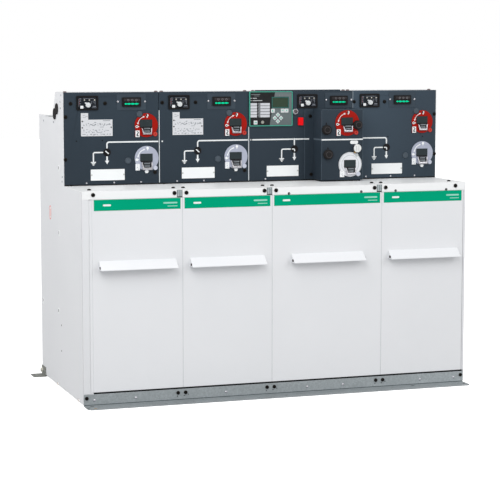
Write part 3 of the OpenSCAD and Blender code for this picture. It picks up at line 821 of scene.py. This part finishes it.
def hasp(w, h, foot):
    """Bent padlock hasp: a U of plated sheet with a sloping left arm and a deep foot."""
    piece = new_plane(w, h)
    bpy.ops.mesh.inset(thickness=4.5 * MM)
    pick("FACE", lambda middle, _: middle.length < 2 * MM or middle.y > (h / 2 - 5) * MM)
    bpy.ops.mesh.delete(type="FACE")
    pick("VERT", lambda co, _: -h / 2 + 3 < co.y / MM < 0)
    bpy.ops.transform.translate(value=(0, (foot - 4.5) * MM, 0))
    pick("VERT", lambda co, _: co.x < 0 and co.y < -3 * MM)
    bpy.ops.transform.translate(value=(6 * MM, 0, 0))
    edit(thickened(piece, 8))
    pick("FACE", facing_up)
    bpy.ops.mesh.bevel(offset=1.2 * MM, segments=3, affect="EDGES")
    leave()
    return piece


def at_device(device, dx, dz, out=DISC_T, turn=0.0):
    """On a device's disc, or out in front of its base."""
    _, x, z, base, _ = device
    return front(x + dx, z + dz, base + out, turn)


def hasp_place(d):
    """Centre of the padlock bracket below a disc's window, from the disc's centre."""
    if d[0] == "switch":
        return (0, -22)
    return (0, -26) if d is breaker_earth else (-1, -29)


red_hasps = copies(hasp(41, 26, 7), [at_device(d, *hasp_place(d)) for d in switches])
pale_hasps = copies(hasp(44, 31, 9), [at_device(d, *hasp_place(d)) for d in earths])
hasps = joined("padlock_hasps", red_hasps + pale_hasps, "plated_steel")
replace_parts(hasps, "padlock_brackets")
wells, tongues, steps = [], [], []
for d in devices:
    dx, dz = hasp_place(d)
    deep = 22 if d[0] == "switch" else 26
    wells += copies(block(34, deep, 1, 1, 0.2), [at_device(d, dx + 1, dz + 1)])
    tongues += copies(block(23, 7, 3.5, 1, 0.6), [at_device(d, dx + 1.5, dz - 1, DISC_T + 1)])
    steps += copies(block(24, 6, 5.5, 1, 0.8), [at_device(d, dx + 1, dz + 9, DISC_T + 1)])
joined("hasp_wells", wells, "black_plastic")
PASSIVATED = surface("grey_passivated_steel", "#7C8186", "#666B70", 8, 1.5, 0.03, (0.3, 0.45), metallic=0.5)
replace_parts(joined("hasp_tongues", tongues + steps, "plated_steel", PASSIVATED), "padlock_brackets")

# Painted shadow below and beside each shutter, as black strips
shades = []
for d in devices:
    window_z = 7.5 if d[0] == "switch" else 3.5
    shades += copies(sheet(47, 4.6, 0.8), [at_device(d, -1, window_z - 15.5)])
    shades += copies(sheet(2.4, 26, 0.8), [at_device(d, -25, window_z - 1.5)])
joined_flat("shutter_shadows", shades, "black_plastic")


def on_rim(d, angle, radius, turn=0.0):
    """On a disc's face, at an angle and radius from its centre."""
    way = math.radians(angle)
    return at_device(d, radius * math.cos(way), radius * math.sin(way), turn=turn)


# Ear and key label of each disc, at the same angles as in the drawing
EAR_ANGLE = {SWITCH_R: -44.5, BOX_SWITCH_R: -45.5, EARTH_R: -47.5, BOX_EARTH_R: -48}
PAD_ANGLE = {SWITCH_R: -137, BOX_SWITCH_R: -134.5, EARTH_R: -137, BOX_EARTH_R: -132.5}
red_pads, pale_pads = ([on_rim(d, PAD_ANGLE[d[4]], d[4] + 2) for d in kind] for kind in (switches, earths))
red_ears, pale_ears = ([on_rim(d, EAR_ANGLE[d[4]], d[4] + 3.5) for d in kind] for kind in (switches, earths))
put("key_labels", block(16, 25, 0.5, 0.8, 0.2), red_pads + pale_pads, "label_plate")
MARKS = ((-1, 8.5, 5, 3), (2.5, 4.5, 3.5, 6), (-0.5, -0.5, 4, 6), (-2, -5, 4, 7), (2.5, -7.5, 4, 4.5))


def pad_marks(rows, pads):
    return [mark for dx, dz, w, h in rows for mark in copies(sheet(w, h, 0.2, x=dx, y=dz, z=0.5), pads)]


joined_flat("key_label_marks", pad_marks(MARKS, red_pads), "label_plate", INK_DARK)
joined_flat(
    "earth_label_marks", pad_marks(MARKS[::2], pale_pads), "label_plate",
    surface("dusty_print", "#C9CCD2", "#BABEC5", 10)
)


def swing_arc(radius, start, end, width):
    """Flat arc that shows the lever's travel, made by spinning one edge."""
    way = Vector((math.cos(math.radians(start)), math.sin(math.radians(start)), 0))
    piece = bare_edge(way * (radius - width / 2), way * (radius + width / 2))
    bpy.ops.mesh.spin(steps=14, angle=-math.radians(end - start), center=(0, 0, 0), axis=(0, 0, 1))
    return thickened(piece, 0.25)


def pointer_drop():
    """Round marker with a short tip that points down."""
    dot = turned(5, [(5, 0.3)], 20)
    tip = arrow_head(3.6, 6)
    tip.data.transform(Matrix.Translation((0, -6 * MM, 0)))
    select_only(dot)
    tip.select_set(True)
    bpy.ops.object.join()
    return dot


# Travel arcs with a head at both ends, between the on and off marks; the breaker's earthing disc has none
arcs, drops, letters = [], [], []
for d in [d for d in devices if d is not breaker_earth]:
    r = d[4] - 12
    arcs += copies(swing_arc(r, 108, 168, 1.7 if d[0] == "switch" else 2.8), [at_device(d, 0, 0)])
    for angle, turn in ((106, 100), (170, 0)):
        for back in (0, 5):
            arcs += copies(arrow_head(3.4, 4.6), [on_rim(d, angle + (back if turn else -back), r, turn)])
    drops += copies(pointer_drop(), [at_device(d, 3.5, d[4] - 8)])
    drops += copies(pointer_drop(), [at_device(d, 8 - d[4], -5, turn=90)])
    if d[0] == "switch":
        letters += copies(sheet(5, 9, 0.2, 2, x=-2, z=0.3), [at_device(d, 3.5, d[4] - 8)])
        letters += copies(turned(2.6, [(2.6, 0.2)], 16), [at_device(d, 8 - d[4], -5, DISC_T + 0.3)])
joined_flat("travel_arcs", arcs, "label_plate", INK_WHITE)
joined_flat("position_marks", drops, "label_plate", INK_WHITE)
joined_flat("position_letters", letters, "label_plate", INK_DARK)

ear_cap = ((8, 0.8), (7, 0.6), (3, -0.6))
put("disc_ears", turned(8, ear_cap, 24), red_ears, "red_plastic", LIGHT_RED)
PALE_LILAC = surface("pale_lilac_plastic", "#CDD1DE", "#BEC2D0", 8, 1.2, 0.02, (0.35, 0.45))
put("earth_disc_ears", turned(8, ear_cap, 24), pale_ears, "lilac_grey_plastic", PALE_LILAC)
put_flat(
    "disc_ear_marks", arrow_head(3.4, 6),
    [spot @ Matrix.Translation((0, 0, 0.9 * MM)) @ Matrix.Rotation(math.pi, 4, "Z") for spot in red_ears],
    "red_plastic"
)
put(
    "earth_disc_tabs", turned(8, [(8, 2), (6.5, 1.2)], 6),
    [at_device(d, 0, -50, 0, 30) for d in earths if d is not breaker_earth], "lilac_grey_plastic", INK_WHITE
)

# The breaker's earthing disc carries a translucent pale cover with a raised inner ring
PALE_COVER = surface("frosted_cover", "#C9CECF", "#BDC2C4", 18, 1.5, 0.02, (0.3, 0.42))
cover = copies(swing_arc(36, -148, 148, 2.4), [at_device(breaker_earth, 0, 0, turn=90)])
cover += copies(swing_arc(46.4, -142, 142, 2.2), [at_device(breaker_earth, 0, 0, turn=90)])
cover += copies(turned(7, [(7, 0.6), (6, 0.5)], 24), [at_device(breaker_earth, 27, 36)])
joined("frosted_disc_cover", cover, "lilac_grey_plastic", PALE_COVER)

# Black strips in the gaps between the fascia and the shelf, and under the breaker box: painted shadow in the
# gaps
fascia_gap_strip = block(right - 6, fascia_foot - shelf_z, 6, 0, 0.5)
put("fascia_gap_shadow", fascia_gap_strip, [front(right / 2, (shelf_z + fascia_foot) / 2, -7)], "black_rubber")
box_gap_strip = block(165, box_foot - shelf_z, 78, 0, 0.5)
put("box_gap_shadow", box_gap_strip, [front(box_left + BOX_W / 2, (shelf_z + box_foot) / 2)], "black_rubber")

# Knob caps and pointers, the lock's bright face and its brass tongue, and the bar round the box's side
knob_spots = [(20, SWITCH_Z - 24, 0, 16.5), (27, EARTH_Z + 6, 0, 16.5), (148.2, SWITCH_Z - 6, DISC_T, 19.5)]
put(
    "knob_caps", turned(13, [(13, 0.8), (11.5, 0.8), (9.5, -1.2), (3, 0.2)], 32),
    [on_box(x, z, base + rise - 1.4) for x, z, base, rise in knob_spots], "black_plastic",
    surface("worn_knob_plastic", "#454142", "#353233", 8, 1.2, 0.03, (0.35, 0.45))
)
put_flat(
    "knob_pointers", arrow_head(4, 9), [on_box(x, z + 24, 0, 180) for x, z, _, _ in knob_spots[:2]],
    "black_plastic"
)
lock = on_box(146, EARTH_Z + 29, 14)
put(
    "lock_face", turned(15.6, [(15.6, 0.8), (14.4, 1.2), (4, 0.3)], 32), [lock], "plated_steel",
    surface("bright_lock_steel", "#F2F3F1", "#DDE0DF", 8, 1.5, 0.02, (0.2, 0.3), metallic=0.1)
)
lock_lines = copies(block(1.4, 24, 2.5, 0.5, 0.2, x=5), [lock])
lock_lines += copies(block(1.4, 20, 2.5, 0.5, 0.2, x=-5), [lock])
joined("lock_lines", lock_lines, "plated_steel", INK_GREY)
put(
    "lock_tongue", block(8, 7, 0.8, 1, 0.3), [on_box(137, EARTH_Z + 13, 9.3)], "plated_steel",
    surface("brass", "#A98A52", "#8C703C", 5, 1.5, 0.03, (0.3, 0.4), metallic=0.7)
)
put_flat(
    "box_side_bar", sheet(BOX_OUT - 8, 6, 0.15, 1),
    [side((fascia_y - panel_y) / MM - BOX_OUT / 2, BUS_Z, 0, 0, False, box_left)], "slate_powder_coat",
    surface("shaded_bar", "#66727C", "#55606A", 20, 2, 0.01, (0.5, 0.6))
)
# Painted highlights along the edges of the breaker box and beside it, and the bright faces of the strips over
# the fascia joints
box_h = box_top - box_foot
highlight_rows = [(x, box_h / 2, 1.2, box_h - 4) for x in (0.8, BOX_W - 0.8)] + [
    (BOX_W / 2, box_h - 1, BOX_W - 2, 1.2)
]
edges = bars(highlight_rows, 0.15, lambda x, z: [on_box(x, box_foot + z)])
edges += copies(sheet(1.2, box_h - 4, 0.15), [front(box_left - 37, box_foot + box_h / 2, 2)])
joined_flat(
    "box_edge_highlights", edges, "slate_powder_coat",
    surface("slate_edge_highlight", "#56626D", "#4A5661", 20, 2, 0.02, (0.4, 0.5))
)
strip_foot = fascia_foot + 2
strip_tops = ((1, FAULT_Z - 30), (2, heights("protection_relay")[0] - 2))
strip_rows = [
    (bay_x[bay] + 1.6, (top + strip_foot) / 2, 2.2, top - strip_foot - 1) for bay, top in strip_tops
]
strips = bars(strip_rows, 0.15, lambda x, z: [front(x, z, 0.8)])
joined_flat(
    "joint_strip_faces", strips, "plated_steel",
    surface("bright_strip", "#E3E7EA", "#D5DADD", 30, 2, 0.02, (0.3, 0.4))
)
put(
    "joint_trim", block(4.5, 66, 0.8, 0.5, 0.3), [front(bay_x[3] + 3, 1106)], "slate_powder_coat",
    surface("grey_trim", "#7C8790", "#69747D", 20, 2, 0.02, (0.4, 0.5))
)
pin_holes = [
    front(bay_x[0] + 50, 959), front(bay_x[0] + 150, 960), front(bay_x[3] + 155, 957.6),
    front(bay_x[3] + 306, 956.4)
]
put_flat("fascia_pin_holes", turned(2.6, [(2.6, 0.15)], 12), pin_holes, "black_plastic", SLOT_DARK)

# ---- Fault indicators ----

fault_spots = [(bay_at(bay, FAULT_X[bay]), FAULT_Z) for bay in range(4)]


def on_fault(dx, dz, out=2.0, turn=0.0):
    return [front(x + dx, z + dz, out, turn) for x, z in fault_spots]


put("fault_faces", block(71, 43, 0.5, 2, 0.1), on_fault(0, 0), "black_plastic", FILM_NAVY)
FACE_MARKS = [
    (-27, 16, 8, 2), (-27, 11, 5, 2), (-28, 6, 8, 1.6), (-28, -2, 6, 2), (-27, -8, 4, 1.6), (-33, 1, 1.2, 30),
    (5, 17, 42, 1.4), (30, 3, 1.6, 18), (25, 5, 1.2, 10), (27, -13, 13, 3.4), (27, -18, 20, 1.4),
    (17, 5, 6, 1.4), (-12, -17, 6, 1.4), (-9, 3, 3, 1.4), (16, -1, 2, 6)
]
joined_flat(
    "fault_symbols", bars(FACE_MARKS, 0.2, lambda x, z: on_fault(x, z, 2.5)), "black_plastic",
    surface("dim_ink", "#8B8F98", "#6A6E77", 6)
)
alarms = [spot for dz in (12, 3, -4) for spot in on_fault(-31, dz, 2.5)]
put(
    "alarm_lamps", turned(1.5, [(1.5, 0.5), (0.8, 0.4)], 12), alarms, "red_plastic",
    surface("dull_red_lens", "#A0464A", "#84383C", 3, 1, 0.02, (0.2, 0.3))
)
lamps = [spot for dx in (-11, 8, 28) for spot in on_fault(dx, 11, 2.5)]
put(
    "fault_lamps", turned(2.6, [(2.6, 1), (1.6, 0.8)], 16), lamps, "white_plastic",
    surface("frosted_lens", "#D8D6CC", "#B8B6AE", 4, 1, 0.02, (0.2, 0.3))
)
put("reset_keys", block(11.5, 10.5, 2.5, 1.6, 0.6), on_fault(-21.5, -15.6, 2.5), "white_plastic")
knob_shape = turned(9.6, [(9.6, 5), (9, 2), (8, 1), (2, 0.2)], 32)
knob_shape = copies(knob_shape, on_fault(2.5, -7.5, 2.5))
knob_shape += copies(block(10, 5.5, 7.5, 2, 1), on_fault(-5, -1, 2.5, -25))
knob_shape += copies(block(16, 3, 1.4, 1.2, 0.5), on_fault(2.5, -7.5, 10.4, -35))
knobs = joined(
    "selector_knobs", knob_shape, "white_plastic",
    surface("knob_plastic", "#E4E7E8", "#D0D4D6", 6, 1, 0.02, (0.25, 0.4))
)
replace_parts(knobs, "indicator_knobs")

# ---- Voltage indicators ----

voltage_at = [(bay_at(bay, VOLTAGE_X[bay]), VOLTAGE_Z) for bay in range(4)]


def on_voltage(dx, dz, out=7.5):
    return [front(x + dx, z + dz, out) for x, z in voltage_at]


put(
    "test_sockets_rail", block(62, 10, 0.8, 1, 0.3), on_voltage(1, 7.5), "black_plastic",
    surface("smoke_plastic", "#3A3638", "#2D2A2C", 12, 1.2, 0.03, (0.35, 0.45))
)
rings = [spot for dx in (-14, 2, 18) for spot in on_voltage(dx, 7, 8.2)]
put(
    "test_sockets", turned(3.8, [(3.8, 1.0), (2.6, 0), (2.6, -1.0)], 20), rings, "black_plastic",
    surface("dim_ring", "#8E8D8F", "#76757A", 6, 1, 0.02, (0.35, 0.45))
)
leds = copies(block(56, 2.6, 1.0, 1.2, 0.3), on_voltage(0, -7))
for dx, w in ((-23, 7), (-11, 12), (4, 12), (18, 11)):
    leds += copies(block(w, 6.4, 1.4, 2.8, 0.5), on_voltage(dx, -7))
joined("voltage_leds", leds, "green_label_film", LED)

# ---- Protection relay ----

relay_x, relay_z = sum(sides("protection_relay")) / 2, sum(heights("protection_relay")) / 2
# How far out the relay's face, its films and their printing stand
RELAY_FACE = 4.0
RELAY_SKIN = RELAY_FACE + 0.5
RELAY_PRINT = RELAY_FACE + 0.8


def on_relay(dx, dz, out=RELAY_FACE, turn=0.0):
    return [front(relay_x + dx, relay_z + dz, out, turn)]


def on_relay_print(dx, dz):
    return on_relay(dx, dz, RELAY_PRINT)


put("relay_grey_face", block(171.6, 128.6, 0.5, 2, 0.1), on_relay(0, 0), "key_rubber", FILM_GREY)
# The black film's right edge slopes
film = sheet(80, 128, 0.3)
edit(film)
pick("VERT", lambda co, _: co.x > 0 and co.y > 0)
bpy.ops.transform.translate(value=(22 * MM, 0, 0))
leave()
put_flat("relay_black_face", film, on_relay(-45.5, 0, RELAY_SKIN), "black_plastic", FILM_BLACK)
ROW_PITCH = 11.4
rows = []
for index in range(5):
    dz = 17.5 - index * ROW_PITCH
    rows += copies(block(27, 9.6, 0.3, 0.6, 0.1), on_relay_print(-71, dz))
    rows += copies(block(39, 9.6, 0.3, 0.6, 0.1), on_relay_print(-24.6, dz))
joined_flat(
    "relay_label_strips", rows, "label_plate",
    surface("paper_strip", "#D3D5DA", "#C6C8CE", 20, 2, 0.01, (0.5, 0.6))
)
pits = [on_relay(-55, 15 - index * ROW_PITCH, RELAY_FACE + 1.2)[0] for index in range(5)]
put("relay_lamps", turned(3.2, [(3.2, 0.6), (2, 0.6)], 16), pits, "black_plastic")
put_flat(
    "relay_lamp_strip", sheet(9, 56, 0.3), on_relay(-49, -5.3, RELAY_PRINT), "black_plastic",
    surface("grey_strip", "#83878A", "#6F7376", 20)
)


def window_frame(w, h, border, t):
    piece = new_plane(w, h)
    bpy.ops.mesh.inset(thickness=border * MM)
    bpy.ops.mesh.delete(type="FACE")
    return thickened(piece, t)


put(
    "screen_frame", window_frame(71, 43, 3.5, 2.2), on_relay(38, 24.5, RELAY_SKIN), "teal_plastic",
    surface("deep_teal_plastic", "#3B6F66", "#2C5650", 10, 1.2, 0.02, (0.35, 0.45))
)
put("screen_glass", sheet(64, 36, 0.6), on_relay(38, 24.5, RELAY_SKIN), "teal_plastic", LCD)
key_spots = [on_relay(dx, -8, RELAY_SKIN)[0] for dx in (7.4, 48, 64)] + on_relay(-64, -53, RELAY_SKIN)
ARROW_KEYS = ((28, -24), (15.4, -36.5), (40.8, -36.5), (28, -49))
arrow_spots = [on_relay(dx, dz, RELAY_SKIN, 45)[0] for dx, dz in ARROW_KEYS]
caps = copies(block(15.5, 15.5, 2.6, 2, 0.9), key_spots)
caps += copies(block(13.5, 13.5, 2.6, 1.5, 0.9), arrow_spots)
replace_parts(joined("relay_key_caps", caps, "key_rubber"), "relay_keys")
GLYPHS = [
    (6, -8, 3, 8), (47, -6, 8, 2.6), (64, -6.5, 3, 6), (-64, -52, 9, 3), (28, -24, 3.6, 8),
    (15.4, -36.5, 8, 3.6), (40.8, -36.5, 8, 3.6), (28, -49, 3.6, 8)
]
joined_flat(
    "relay_key_marks", bars(GLYPHS, 0.2, lambda x, z: on_relay(x, z, RELAY_FACE + 3.1)), "teal_plastic",
    INK_TEAL
)
DASHES = [
    (-64, 55.5, 38, 2.2), (-59, 50, 22, 1.4), (35, 52, 4, 4), (58, 52, 36, 1.8), (52, 44.5, 50, 3.4),
    (-29, -33, 5, 1.2)
]
joined_flat(
    "relay_print", bars(DASHES, 0.15, on_relay_print), "label_plate",
    surface("faint_print", "#8A9092", "#7A8082", 10)
)
WORDS = [(-82, 41, 3.6, 3.6), (-67, 41, 17, 2.6), (-82, 32, 3.2, 3.2), (-56, 32, 40, 2.6)]
joined_flat(
    "relay_status_words", bars(WORDS, 0.15, on_relay_print), "label_plate",
    surface("pale_words", "#C9CDCE", "#B9BDBF", 10)
)
put(
    "relay_port", turned(6.6, [(6.6, 1.6), (5.2, 0.3), (4.6, -1.4)], 6), on_relay(-35, -52, RELAY_SKIN, 30),
    "plated_steel", surface("port_nickel", "#B4B5AC", "#8F9088", 3, 1, 0.02, (0.3, 0.4))
)
lamp_at = front(sum(sides("relay_lamp")) / 2, sum(heights("relay_lamp")) / 2, 6)
put(
    "lamp_lens", turned(8, [(8, 0.6), (6, 1.2), (1, 0.4)], 24), [lamp_at], "black_plastic",
    surface("smoked_lens", "#6E6468", "#4E464A", 6, 2, 0.01, (0.1, 0.2))
)

# ---- Labels ----

PLATE_X, PLATE_Z = 129, 1008


def on_plate(dx, dz, out=1.0):
    """On the rating plates of the first two bays."""
    return [front(bay_at(bay, PLATE_X) + dx, PLATE_Z + dz, out) for bay in (0, 1)]


faces = copies(sheet(121, 61, 0.1, 0.5), on_plate(0, 0))
faces += copies(sheet(27, 25, 0.1, 0.5), on_plate(-47, 43.3))
joined_flat(
    "rating_plate_faces", faces, "label_plate",
    surface("satin_plate", "#DCDDE1", "#D2D4D8", 60, 2, 0.01, (0.3, 0.38))
)
# Rows of short symbols, each with its height, spacing and number; then the longer words
SYMBOL_ROWS = ((15, 9, 12), (10, 11, 10), (-8, 12, 8), (-15, 10, 9), (-25, 13, 8))
plate_marks = []
for row, (dz, step, count) in enumerate(SYMBOL_ROWS):
    for index in range(count):
        size = 3 + (index * 5 + row * 3) % 4
        marks_at = on_plate(index * step - 50, dz + (index * 7 + row) % 5 - 2, 1.1)
        plate_marks += copies(sheet(size, 1.8 + (index + row) % 3 * 0.6, 0.12), marks_at)
PLATE_WORDS = [
    (-50, 48, 8, 1.4), (-40, 44, 10, 1.4), (-48, 40, 12, 1.4), (-52, 24, 8, 1.4), (-6, 21, 7, 3),
    (38, 27, 28, 2.6), (-22, 13, 10, 3), (-12, 9, 8, 3), (14, 13, 6, 3), (30, 12, 5, 4), (48, 12, 12, 2.4),
    (20, 3, 14, 2), (-4, -9, 8, 3), (10, -17, 20, 2), (-16, -17, 5, 4), (-50, -24, 14, 2), (-22, -24, 8, 3),
    (-8, -24, 12, 2), (24, -24, 16, 2), (42, -10, 10, 2), (52, -24, 6, 3)
]
plate_marks += bars(PLATE_WORDS, 0.12, lambda dx, dz: on_plate(dx, dz, 1.15))
joined_flat("rating_plate_print", plate_marks, "label_plate", surface("pale_print", "#A3A7AC", "#8D9297", 10))
plate_screws = [spot for dx, dz in ((-56, 1), (56, 2), (-56, 25)) for spot in on_plate(dx, dz)]
put(
    "rating_plate_rivets", turned(2.6, [(2.6, 0.8), (1.6, 0.7)], 12), plate_screws, "black_plastic",
    BLACK_STEEL
)
notches = [front(bay_at(bay, LABEL_X[bay]) + dx, LABEL_Z, 1.5) for bay in range(4) for dx in (-63, 63)]
put(
    "label_holder_clips", block(6, 6, 0.8, 1, 0.3), notches, "label_plate",
    surface("clip_plastic", "#C9CBC8", "#B5B8B4", 8, 1, 0.02, (0.3, 0.4))
)

# Plain bars stand for the printing on the green bands
badges, fine = [], []
band_z = sum(heights("label_bands")) / 2
for start, end in zip(panel_from, panel_to):
    badges += copies(sheet(30, 7, 0.15, 3.4), [on_door(start + 56, band_z, 0.6)])
    fine += copies(sheet(54, 6, 0.15, 2.9), [on_door(end - 46, band_z + 3, 0.6)])
    fine += copies(sheet(38, 3, 0.15, 1.4), [on_door(end - 38, band_z - 9, 0.6)])
joined_flat("band_marks", badges, "label_plate", INK_WHITE)
joined_flat("band_small_marks", fine, "label_plate", PALE_GREEN)

# ---- Side panels ----

SIDE_SCREWS = [(312, 1131), (328, 1106), (325, 1082), (624, 1025), (444, 1026), (304, 824), (308, 806)]
side_spots = [spot for y, z in SIDE_SCREWS for spot in both_sides(y, z)]
put(
    "side_rivets", turned(4, [(4, 0.9), (2.6, 0.6), (1.4, -0.8)], 16), side_spots, "galvanised_steel",
    INK_GREY
)
SIDE_SLOTS = [(362, 852), (371, 603), (391, 300), (672, 303)]
SIDE_HOLES = [(350, 251), (354, 151)]
slot_spots = [spot for y, z in SIDE_SLOTS for spot in both_sides(y, z, -0.2)]
hole_spots = [spot for y, z in SIDE_HOLES for spot in both_sides(y, z, -0.2)]
# The dimples' whiter coat is a painted highlight on their raised side, beside each dark slot
put("side_dimple_highlights", block(13, 25, 1.4, 6, 1.2), slot_spots, "white_powder_coat", INK_WHITE)
slots_made = copies(sheet(6, 12, 0.2, 2.6, y=3, z=1.4), slot_spots)
slots_made += copies(turned(3.6, [(3.6, 0.4)], 16), hole_spots)
joined(
    "side_slots", slots_made, "black_plastic",
    surface("shaded_slot", "#54504F", "#403C3A", 6, 2, 0.01, (0.6, 0.7))
)


def oval_ring(w, h, border, t):
    """Printed outline of an oval tag."""
    ring = sheet(w, h, t, w / 2 - 0.2)
    edit(ring)
    pick("FACE", facing_up)
    bpy.ops.mesh.inset(thickness=border * MM)
    bpy.ops.mesh.delete(type="FACE")
    leave()
    return ring


tag_at = both_sides(525, 671)
put_flat("side_tags", sheet(30, 54, 0.2, 14), tag_at, "label_plate", INK_WHITE)
tag_rings = copies(oval_ring(30, 54, 3.4, 0.4), tag_at) + copies(sheet(4, 30, 0.3, 1, z=0.2), tag_at)
joined_flat(
    "side_tag_outlines", tag_rings, "label_plate",
    surface("coral_ink", "#F0625A", "#E5534D", 10, 1.5, 0.01, (0.45, 0.55))
)

# ---- Stage, camera and light ----

scene = bpy.context.scene
camera_data = bpy.data.cameras.new("camera")
camera = bpy.data.objects.new("camera", camera_data)
scene.collection.objects.link(camera)
camera.location = (-2.2203, -6.4812, 1.2796)
YAW = math.radians(18.806)
PITCH = math.radians(6.347)
camera.rotation_euler = Euler((math.radians(90) - PITCH, 0, -YAW))
camera_data.sensor_width = 36
camera_data.lens = 125.9
scene.camera = camera

clear_selection()
bpy.ops.mesh.primitive_plane_add(size=40, location=(0, 0, 0))
floor = bpy.context.object
floor.name = "floor"
floor_mat, floor_shader, _ = start_material("pale_floor", roughness=0.9)
floor_shader.inputs["Base Color"].default_value = linear("#B4B4B4")
floor_shader.inputs["Emission Color"].default_value = (1, 1, 1, 1)
floor_seen = add(floor_mat, "LightPath").outputs["Is Camera Ray"]
link(floor_mat, floor_seen, floor_shader, "Emission Strength")
floor.data.materials.append(floor_mat)

scene.view_settings.view_transform = "Standard"
world = bpy.data.worlds.new("studio")
scene.world = world
world.use_nodes = True
studio = world.node_tree.nodes
soft = studio["Background"]
soft.inputs[0].default_value = (1, 1, 1, 1)
soft.inputs[1].default_value = 0.6
seen = add(world, "Background", {0: (1, 1, 1, 1)})
camera_ray = add(world, "LightPath").outputs["Is Camera Ray"]
mixed = add(world, "MixShader", {0: camera_ray, 1: soft.outputs[0], 2: seen.outputs[0]})
link(world, mixed.outputs[0], studio["World Output"], 0)


def softbox(name, location, size, energy):
    data = bpy.data.lights.new(name, "AREA")
    data.energy = energy
    data.size = size
    lamp = bpy.data.objects.new(name, data)
    lamp.location = location
    lamp.rotation_euler = (Vector((0, 0, 0.6)) - Vector(location)).to_track_quat("-Z", "Y").to_euler()
    scene.collection.objects.link(lamp)


softbox("key", (-1.9, -3.2, 3.6), 3.2, 90)
softbox("fill", (3.0, -4.2, 2.6), 3.0, 66)
softbox("left", (-4.4, 0.2, 2.6), 2.4, 68)
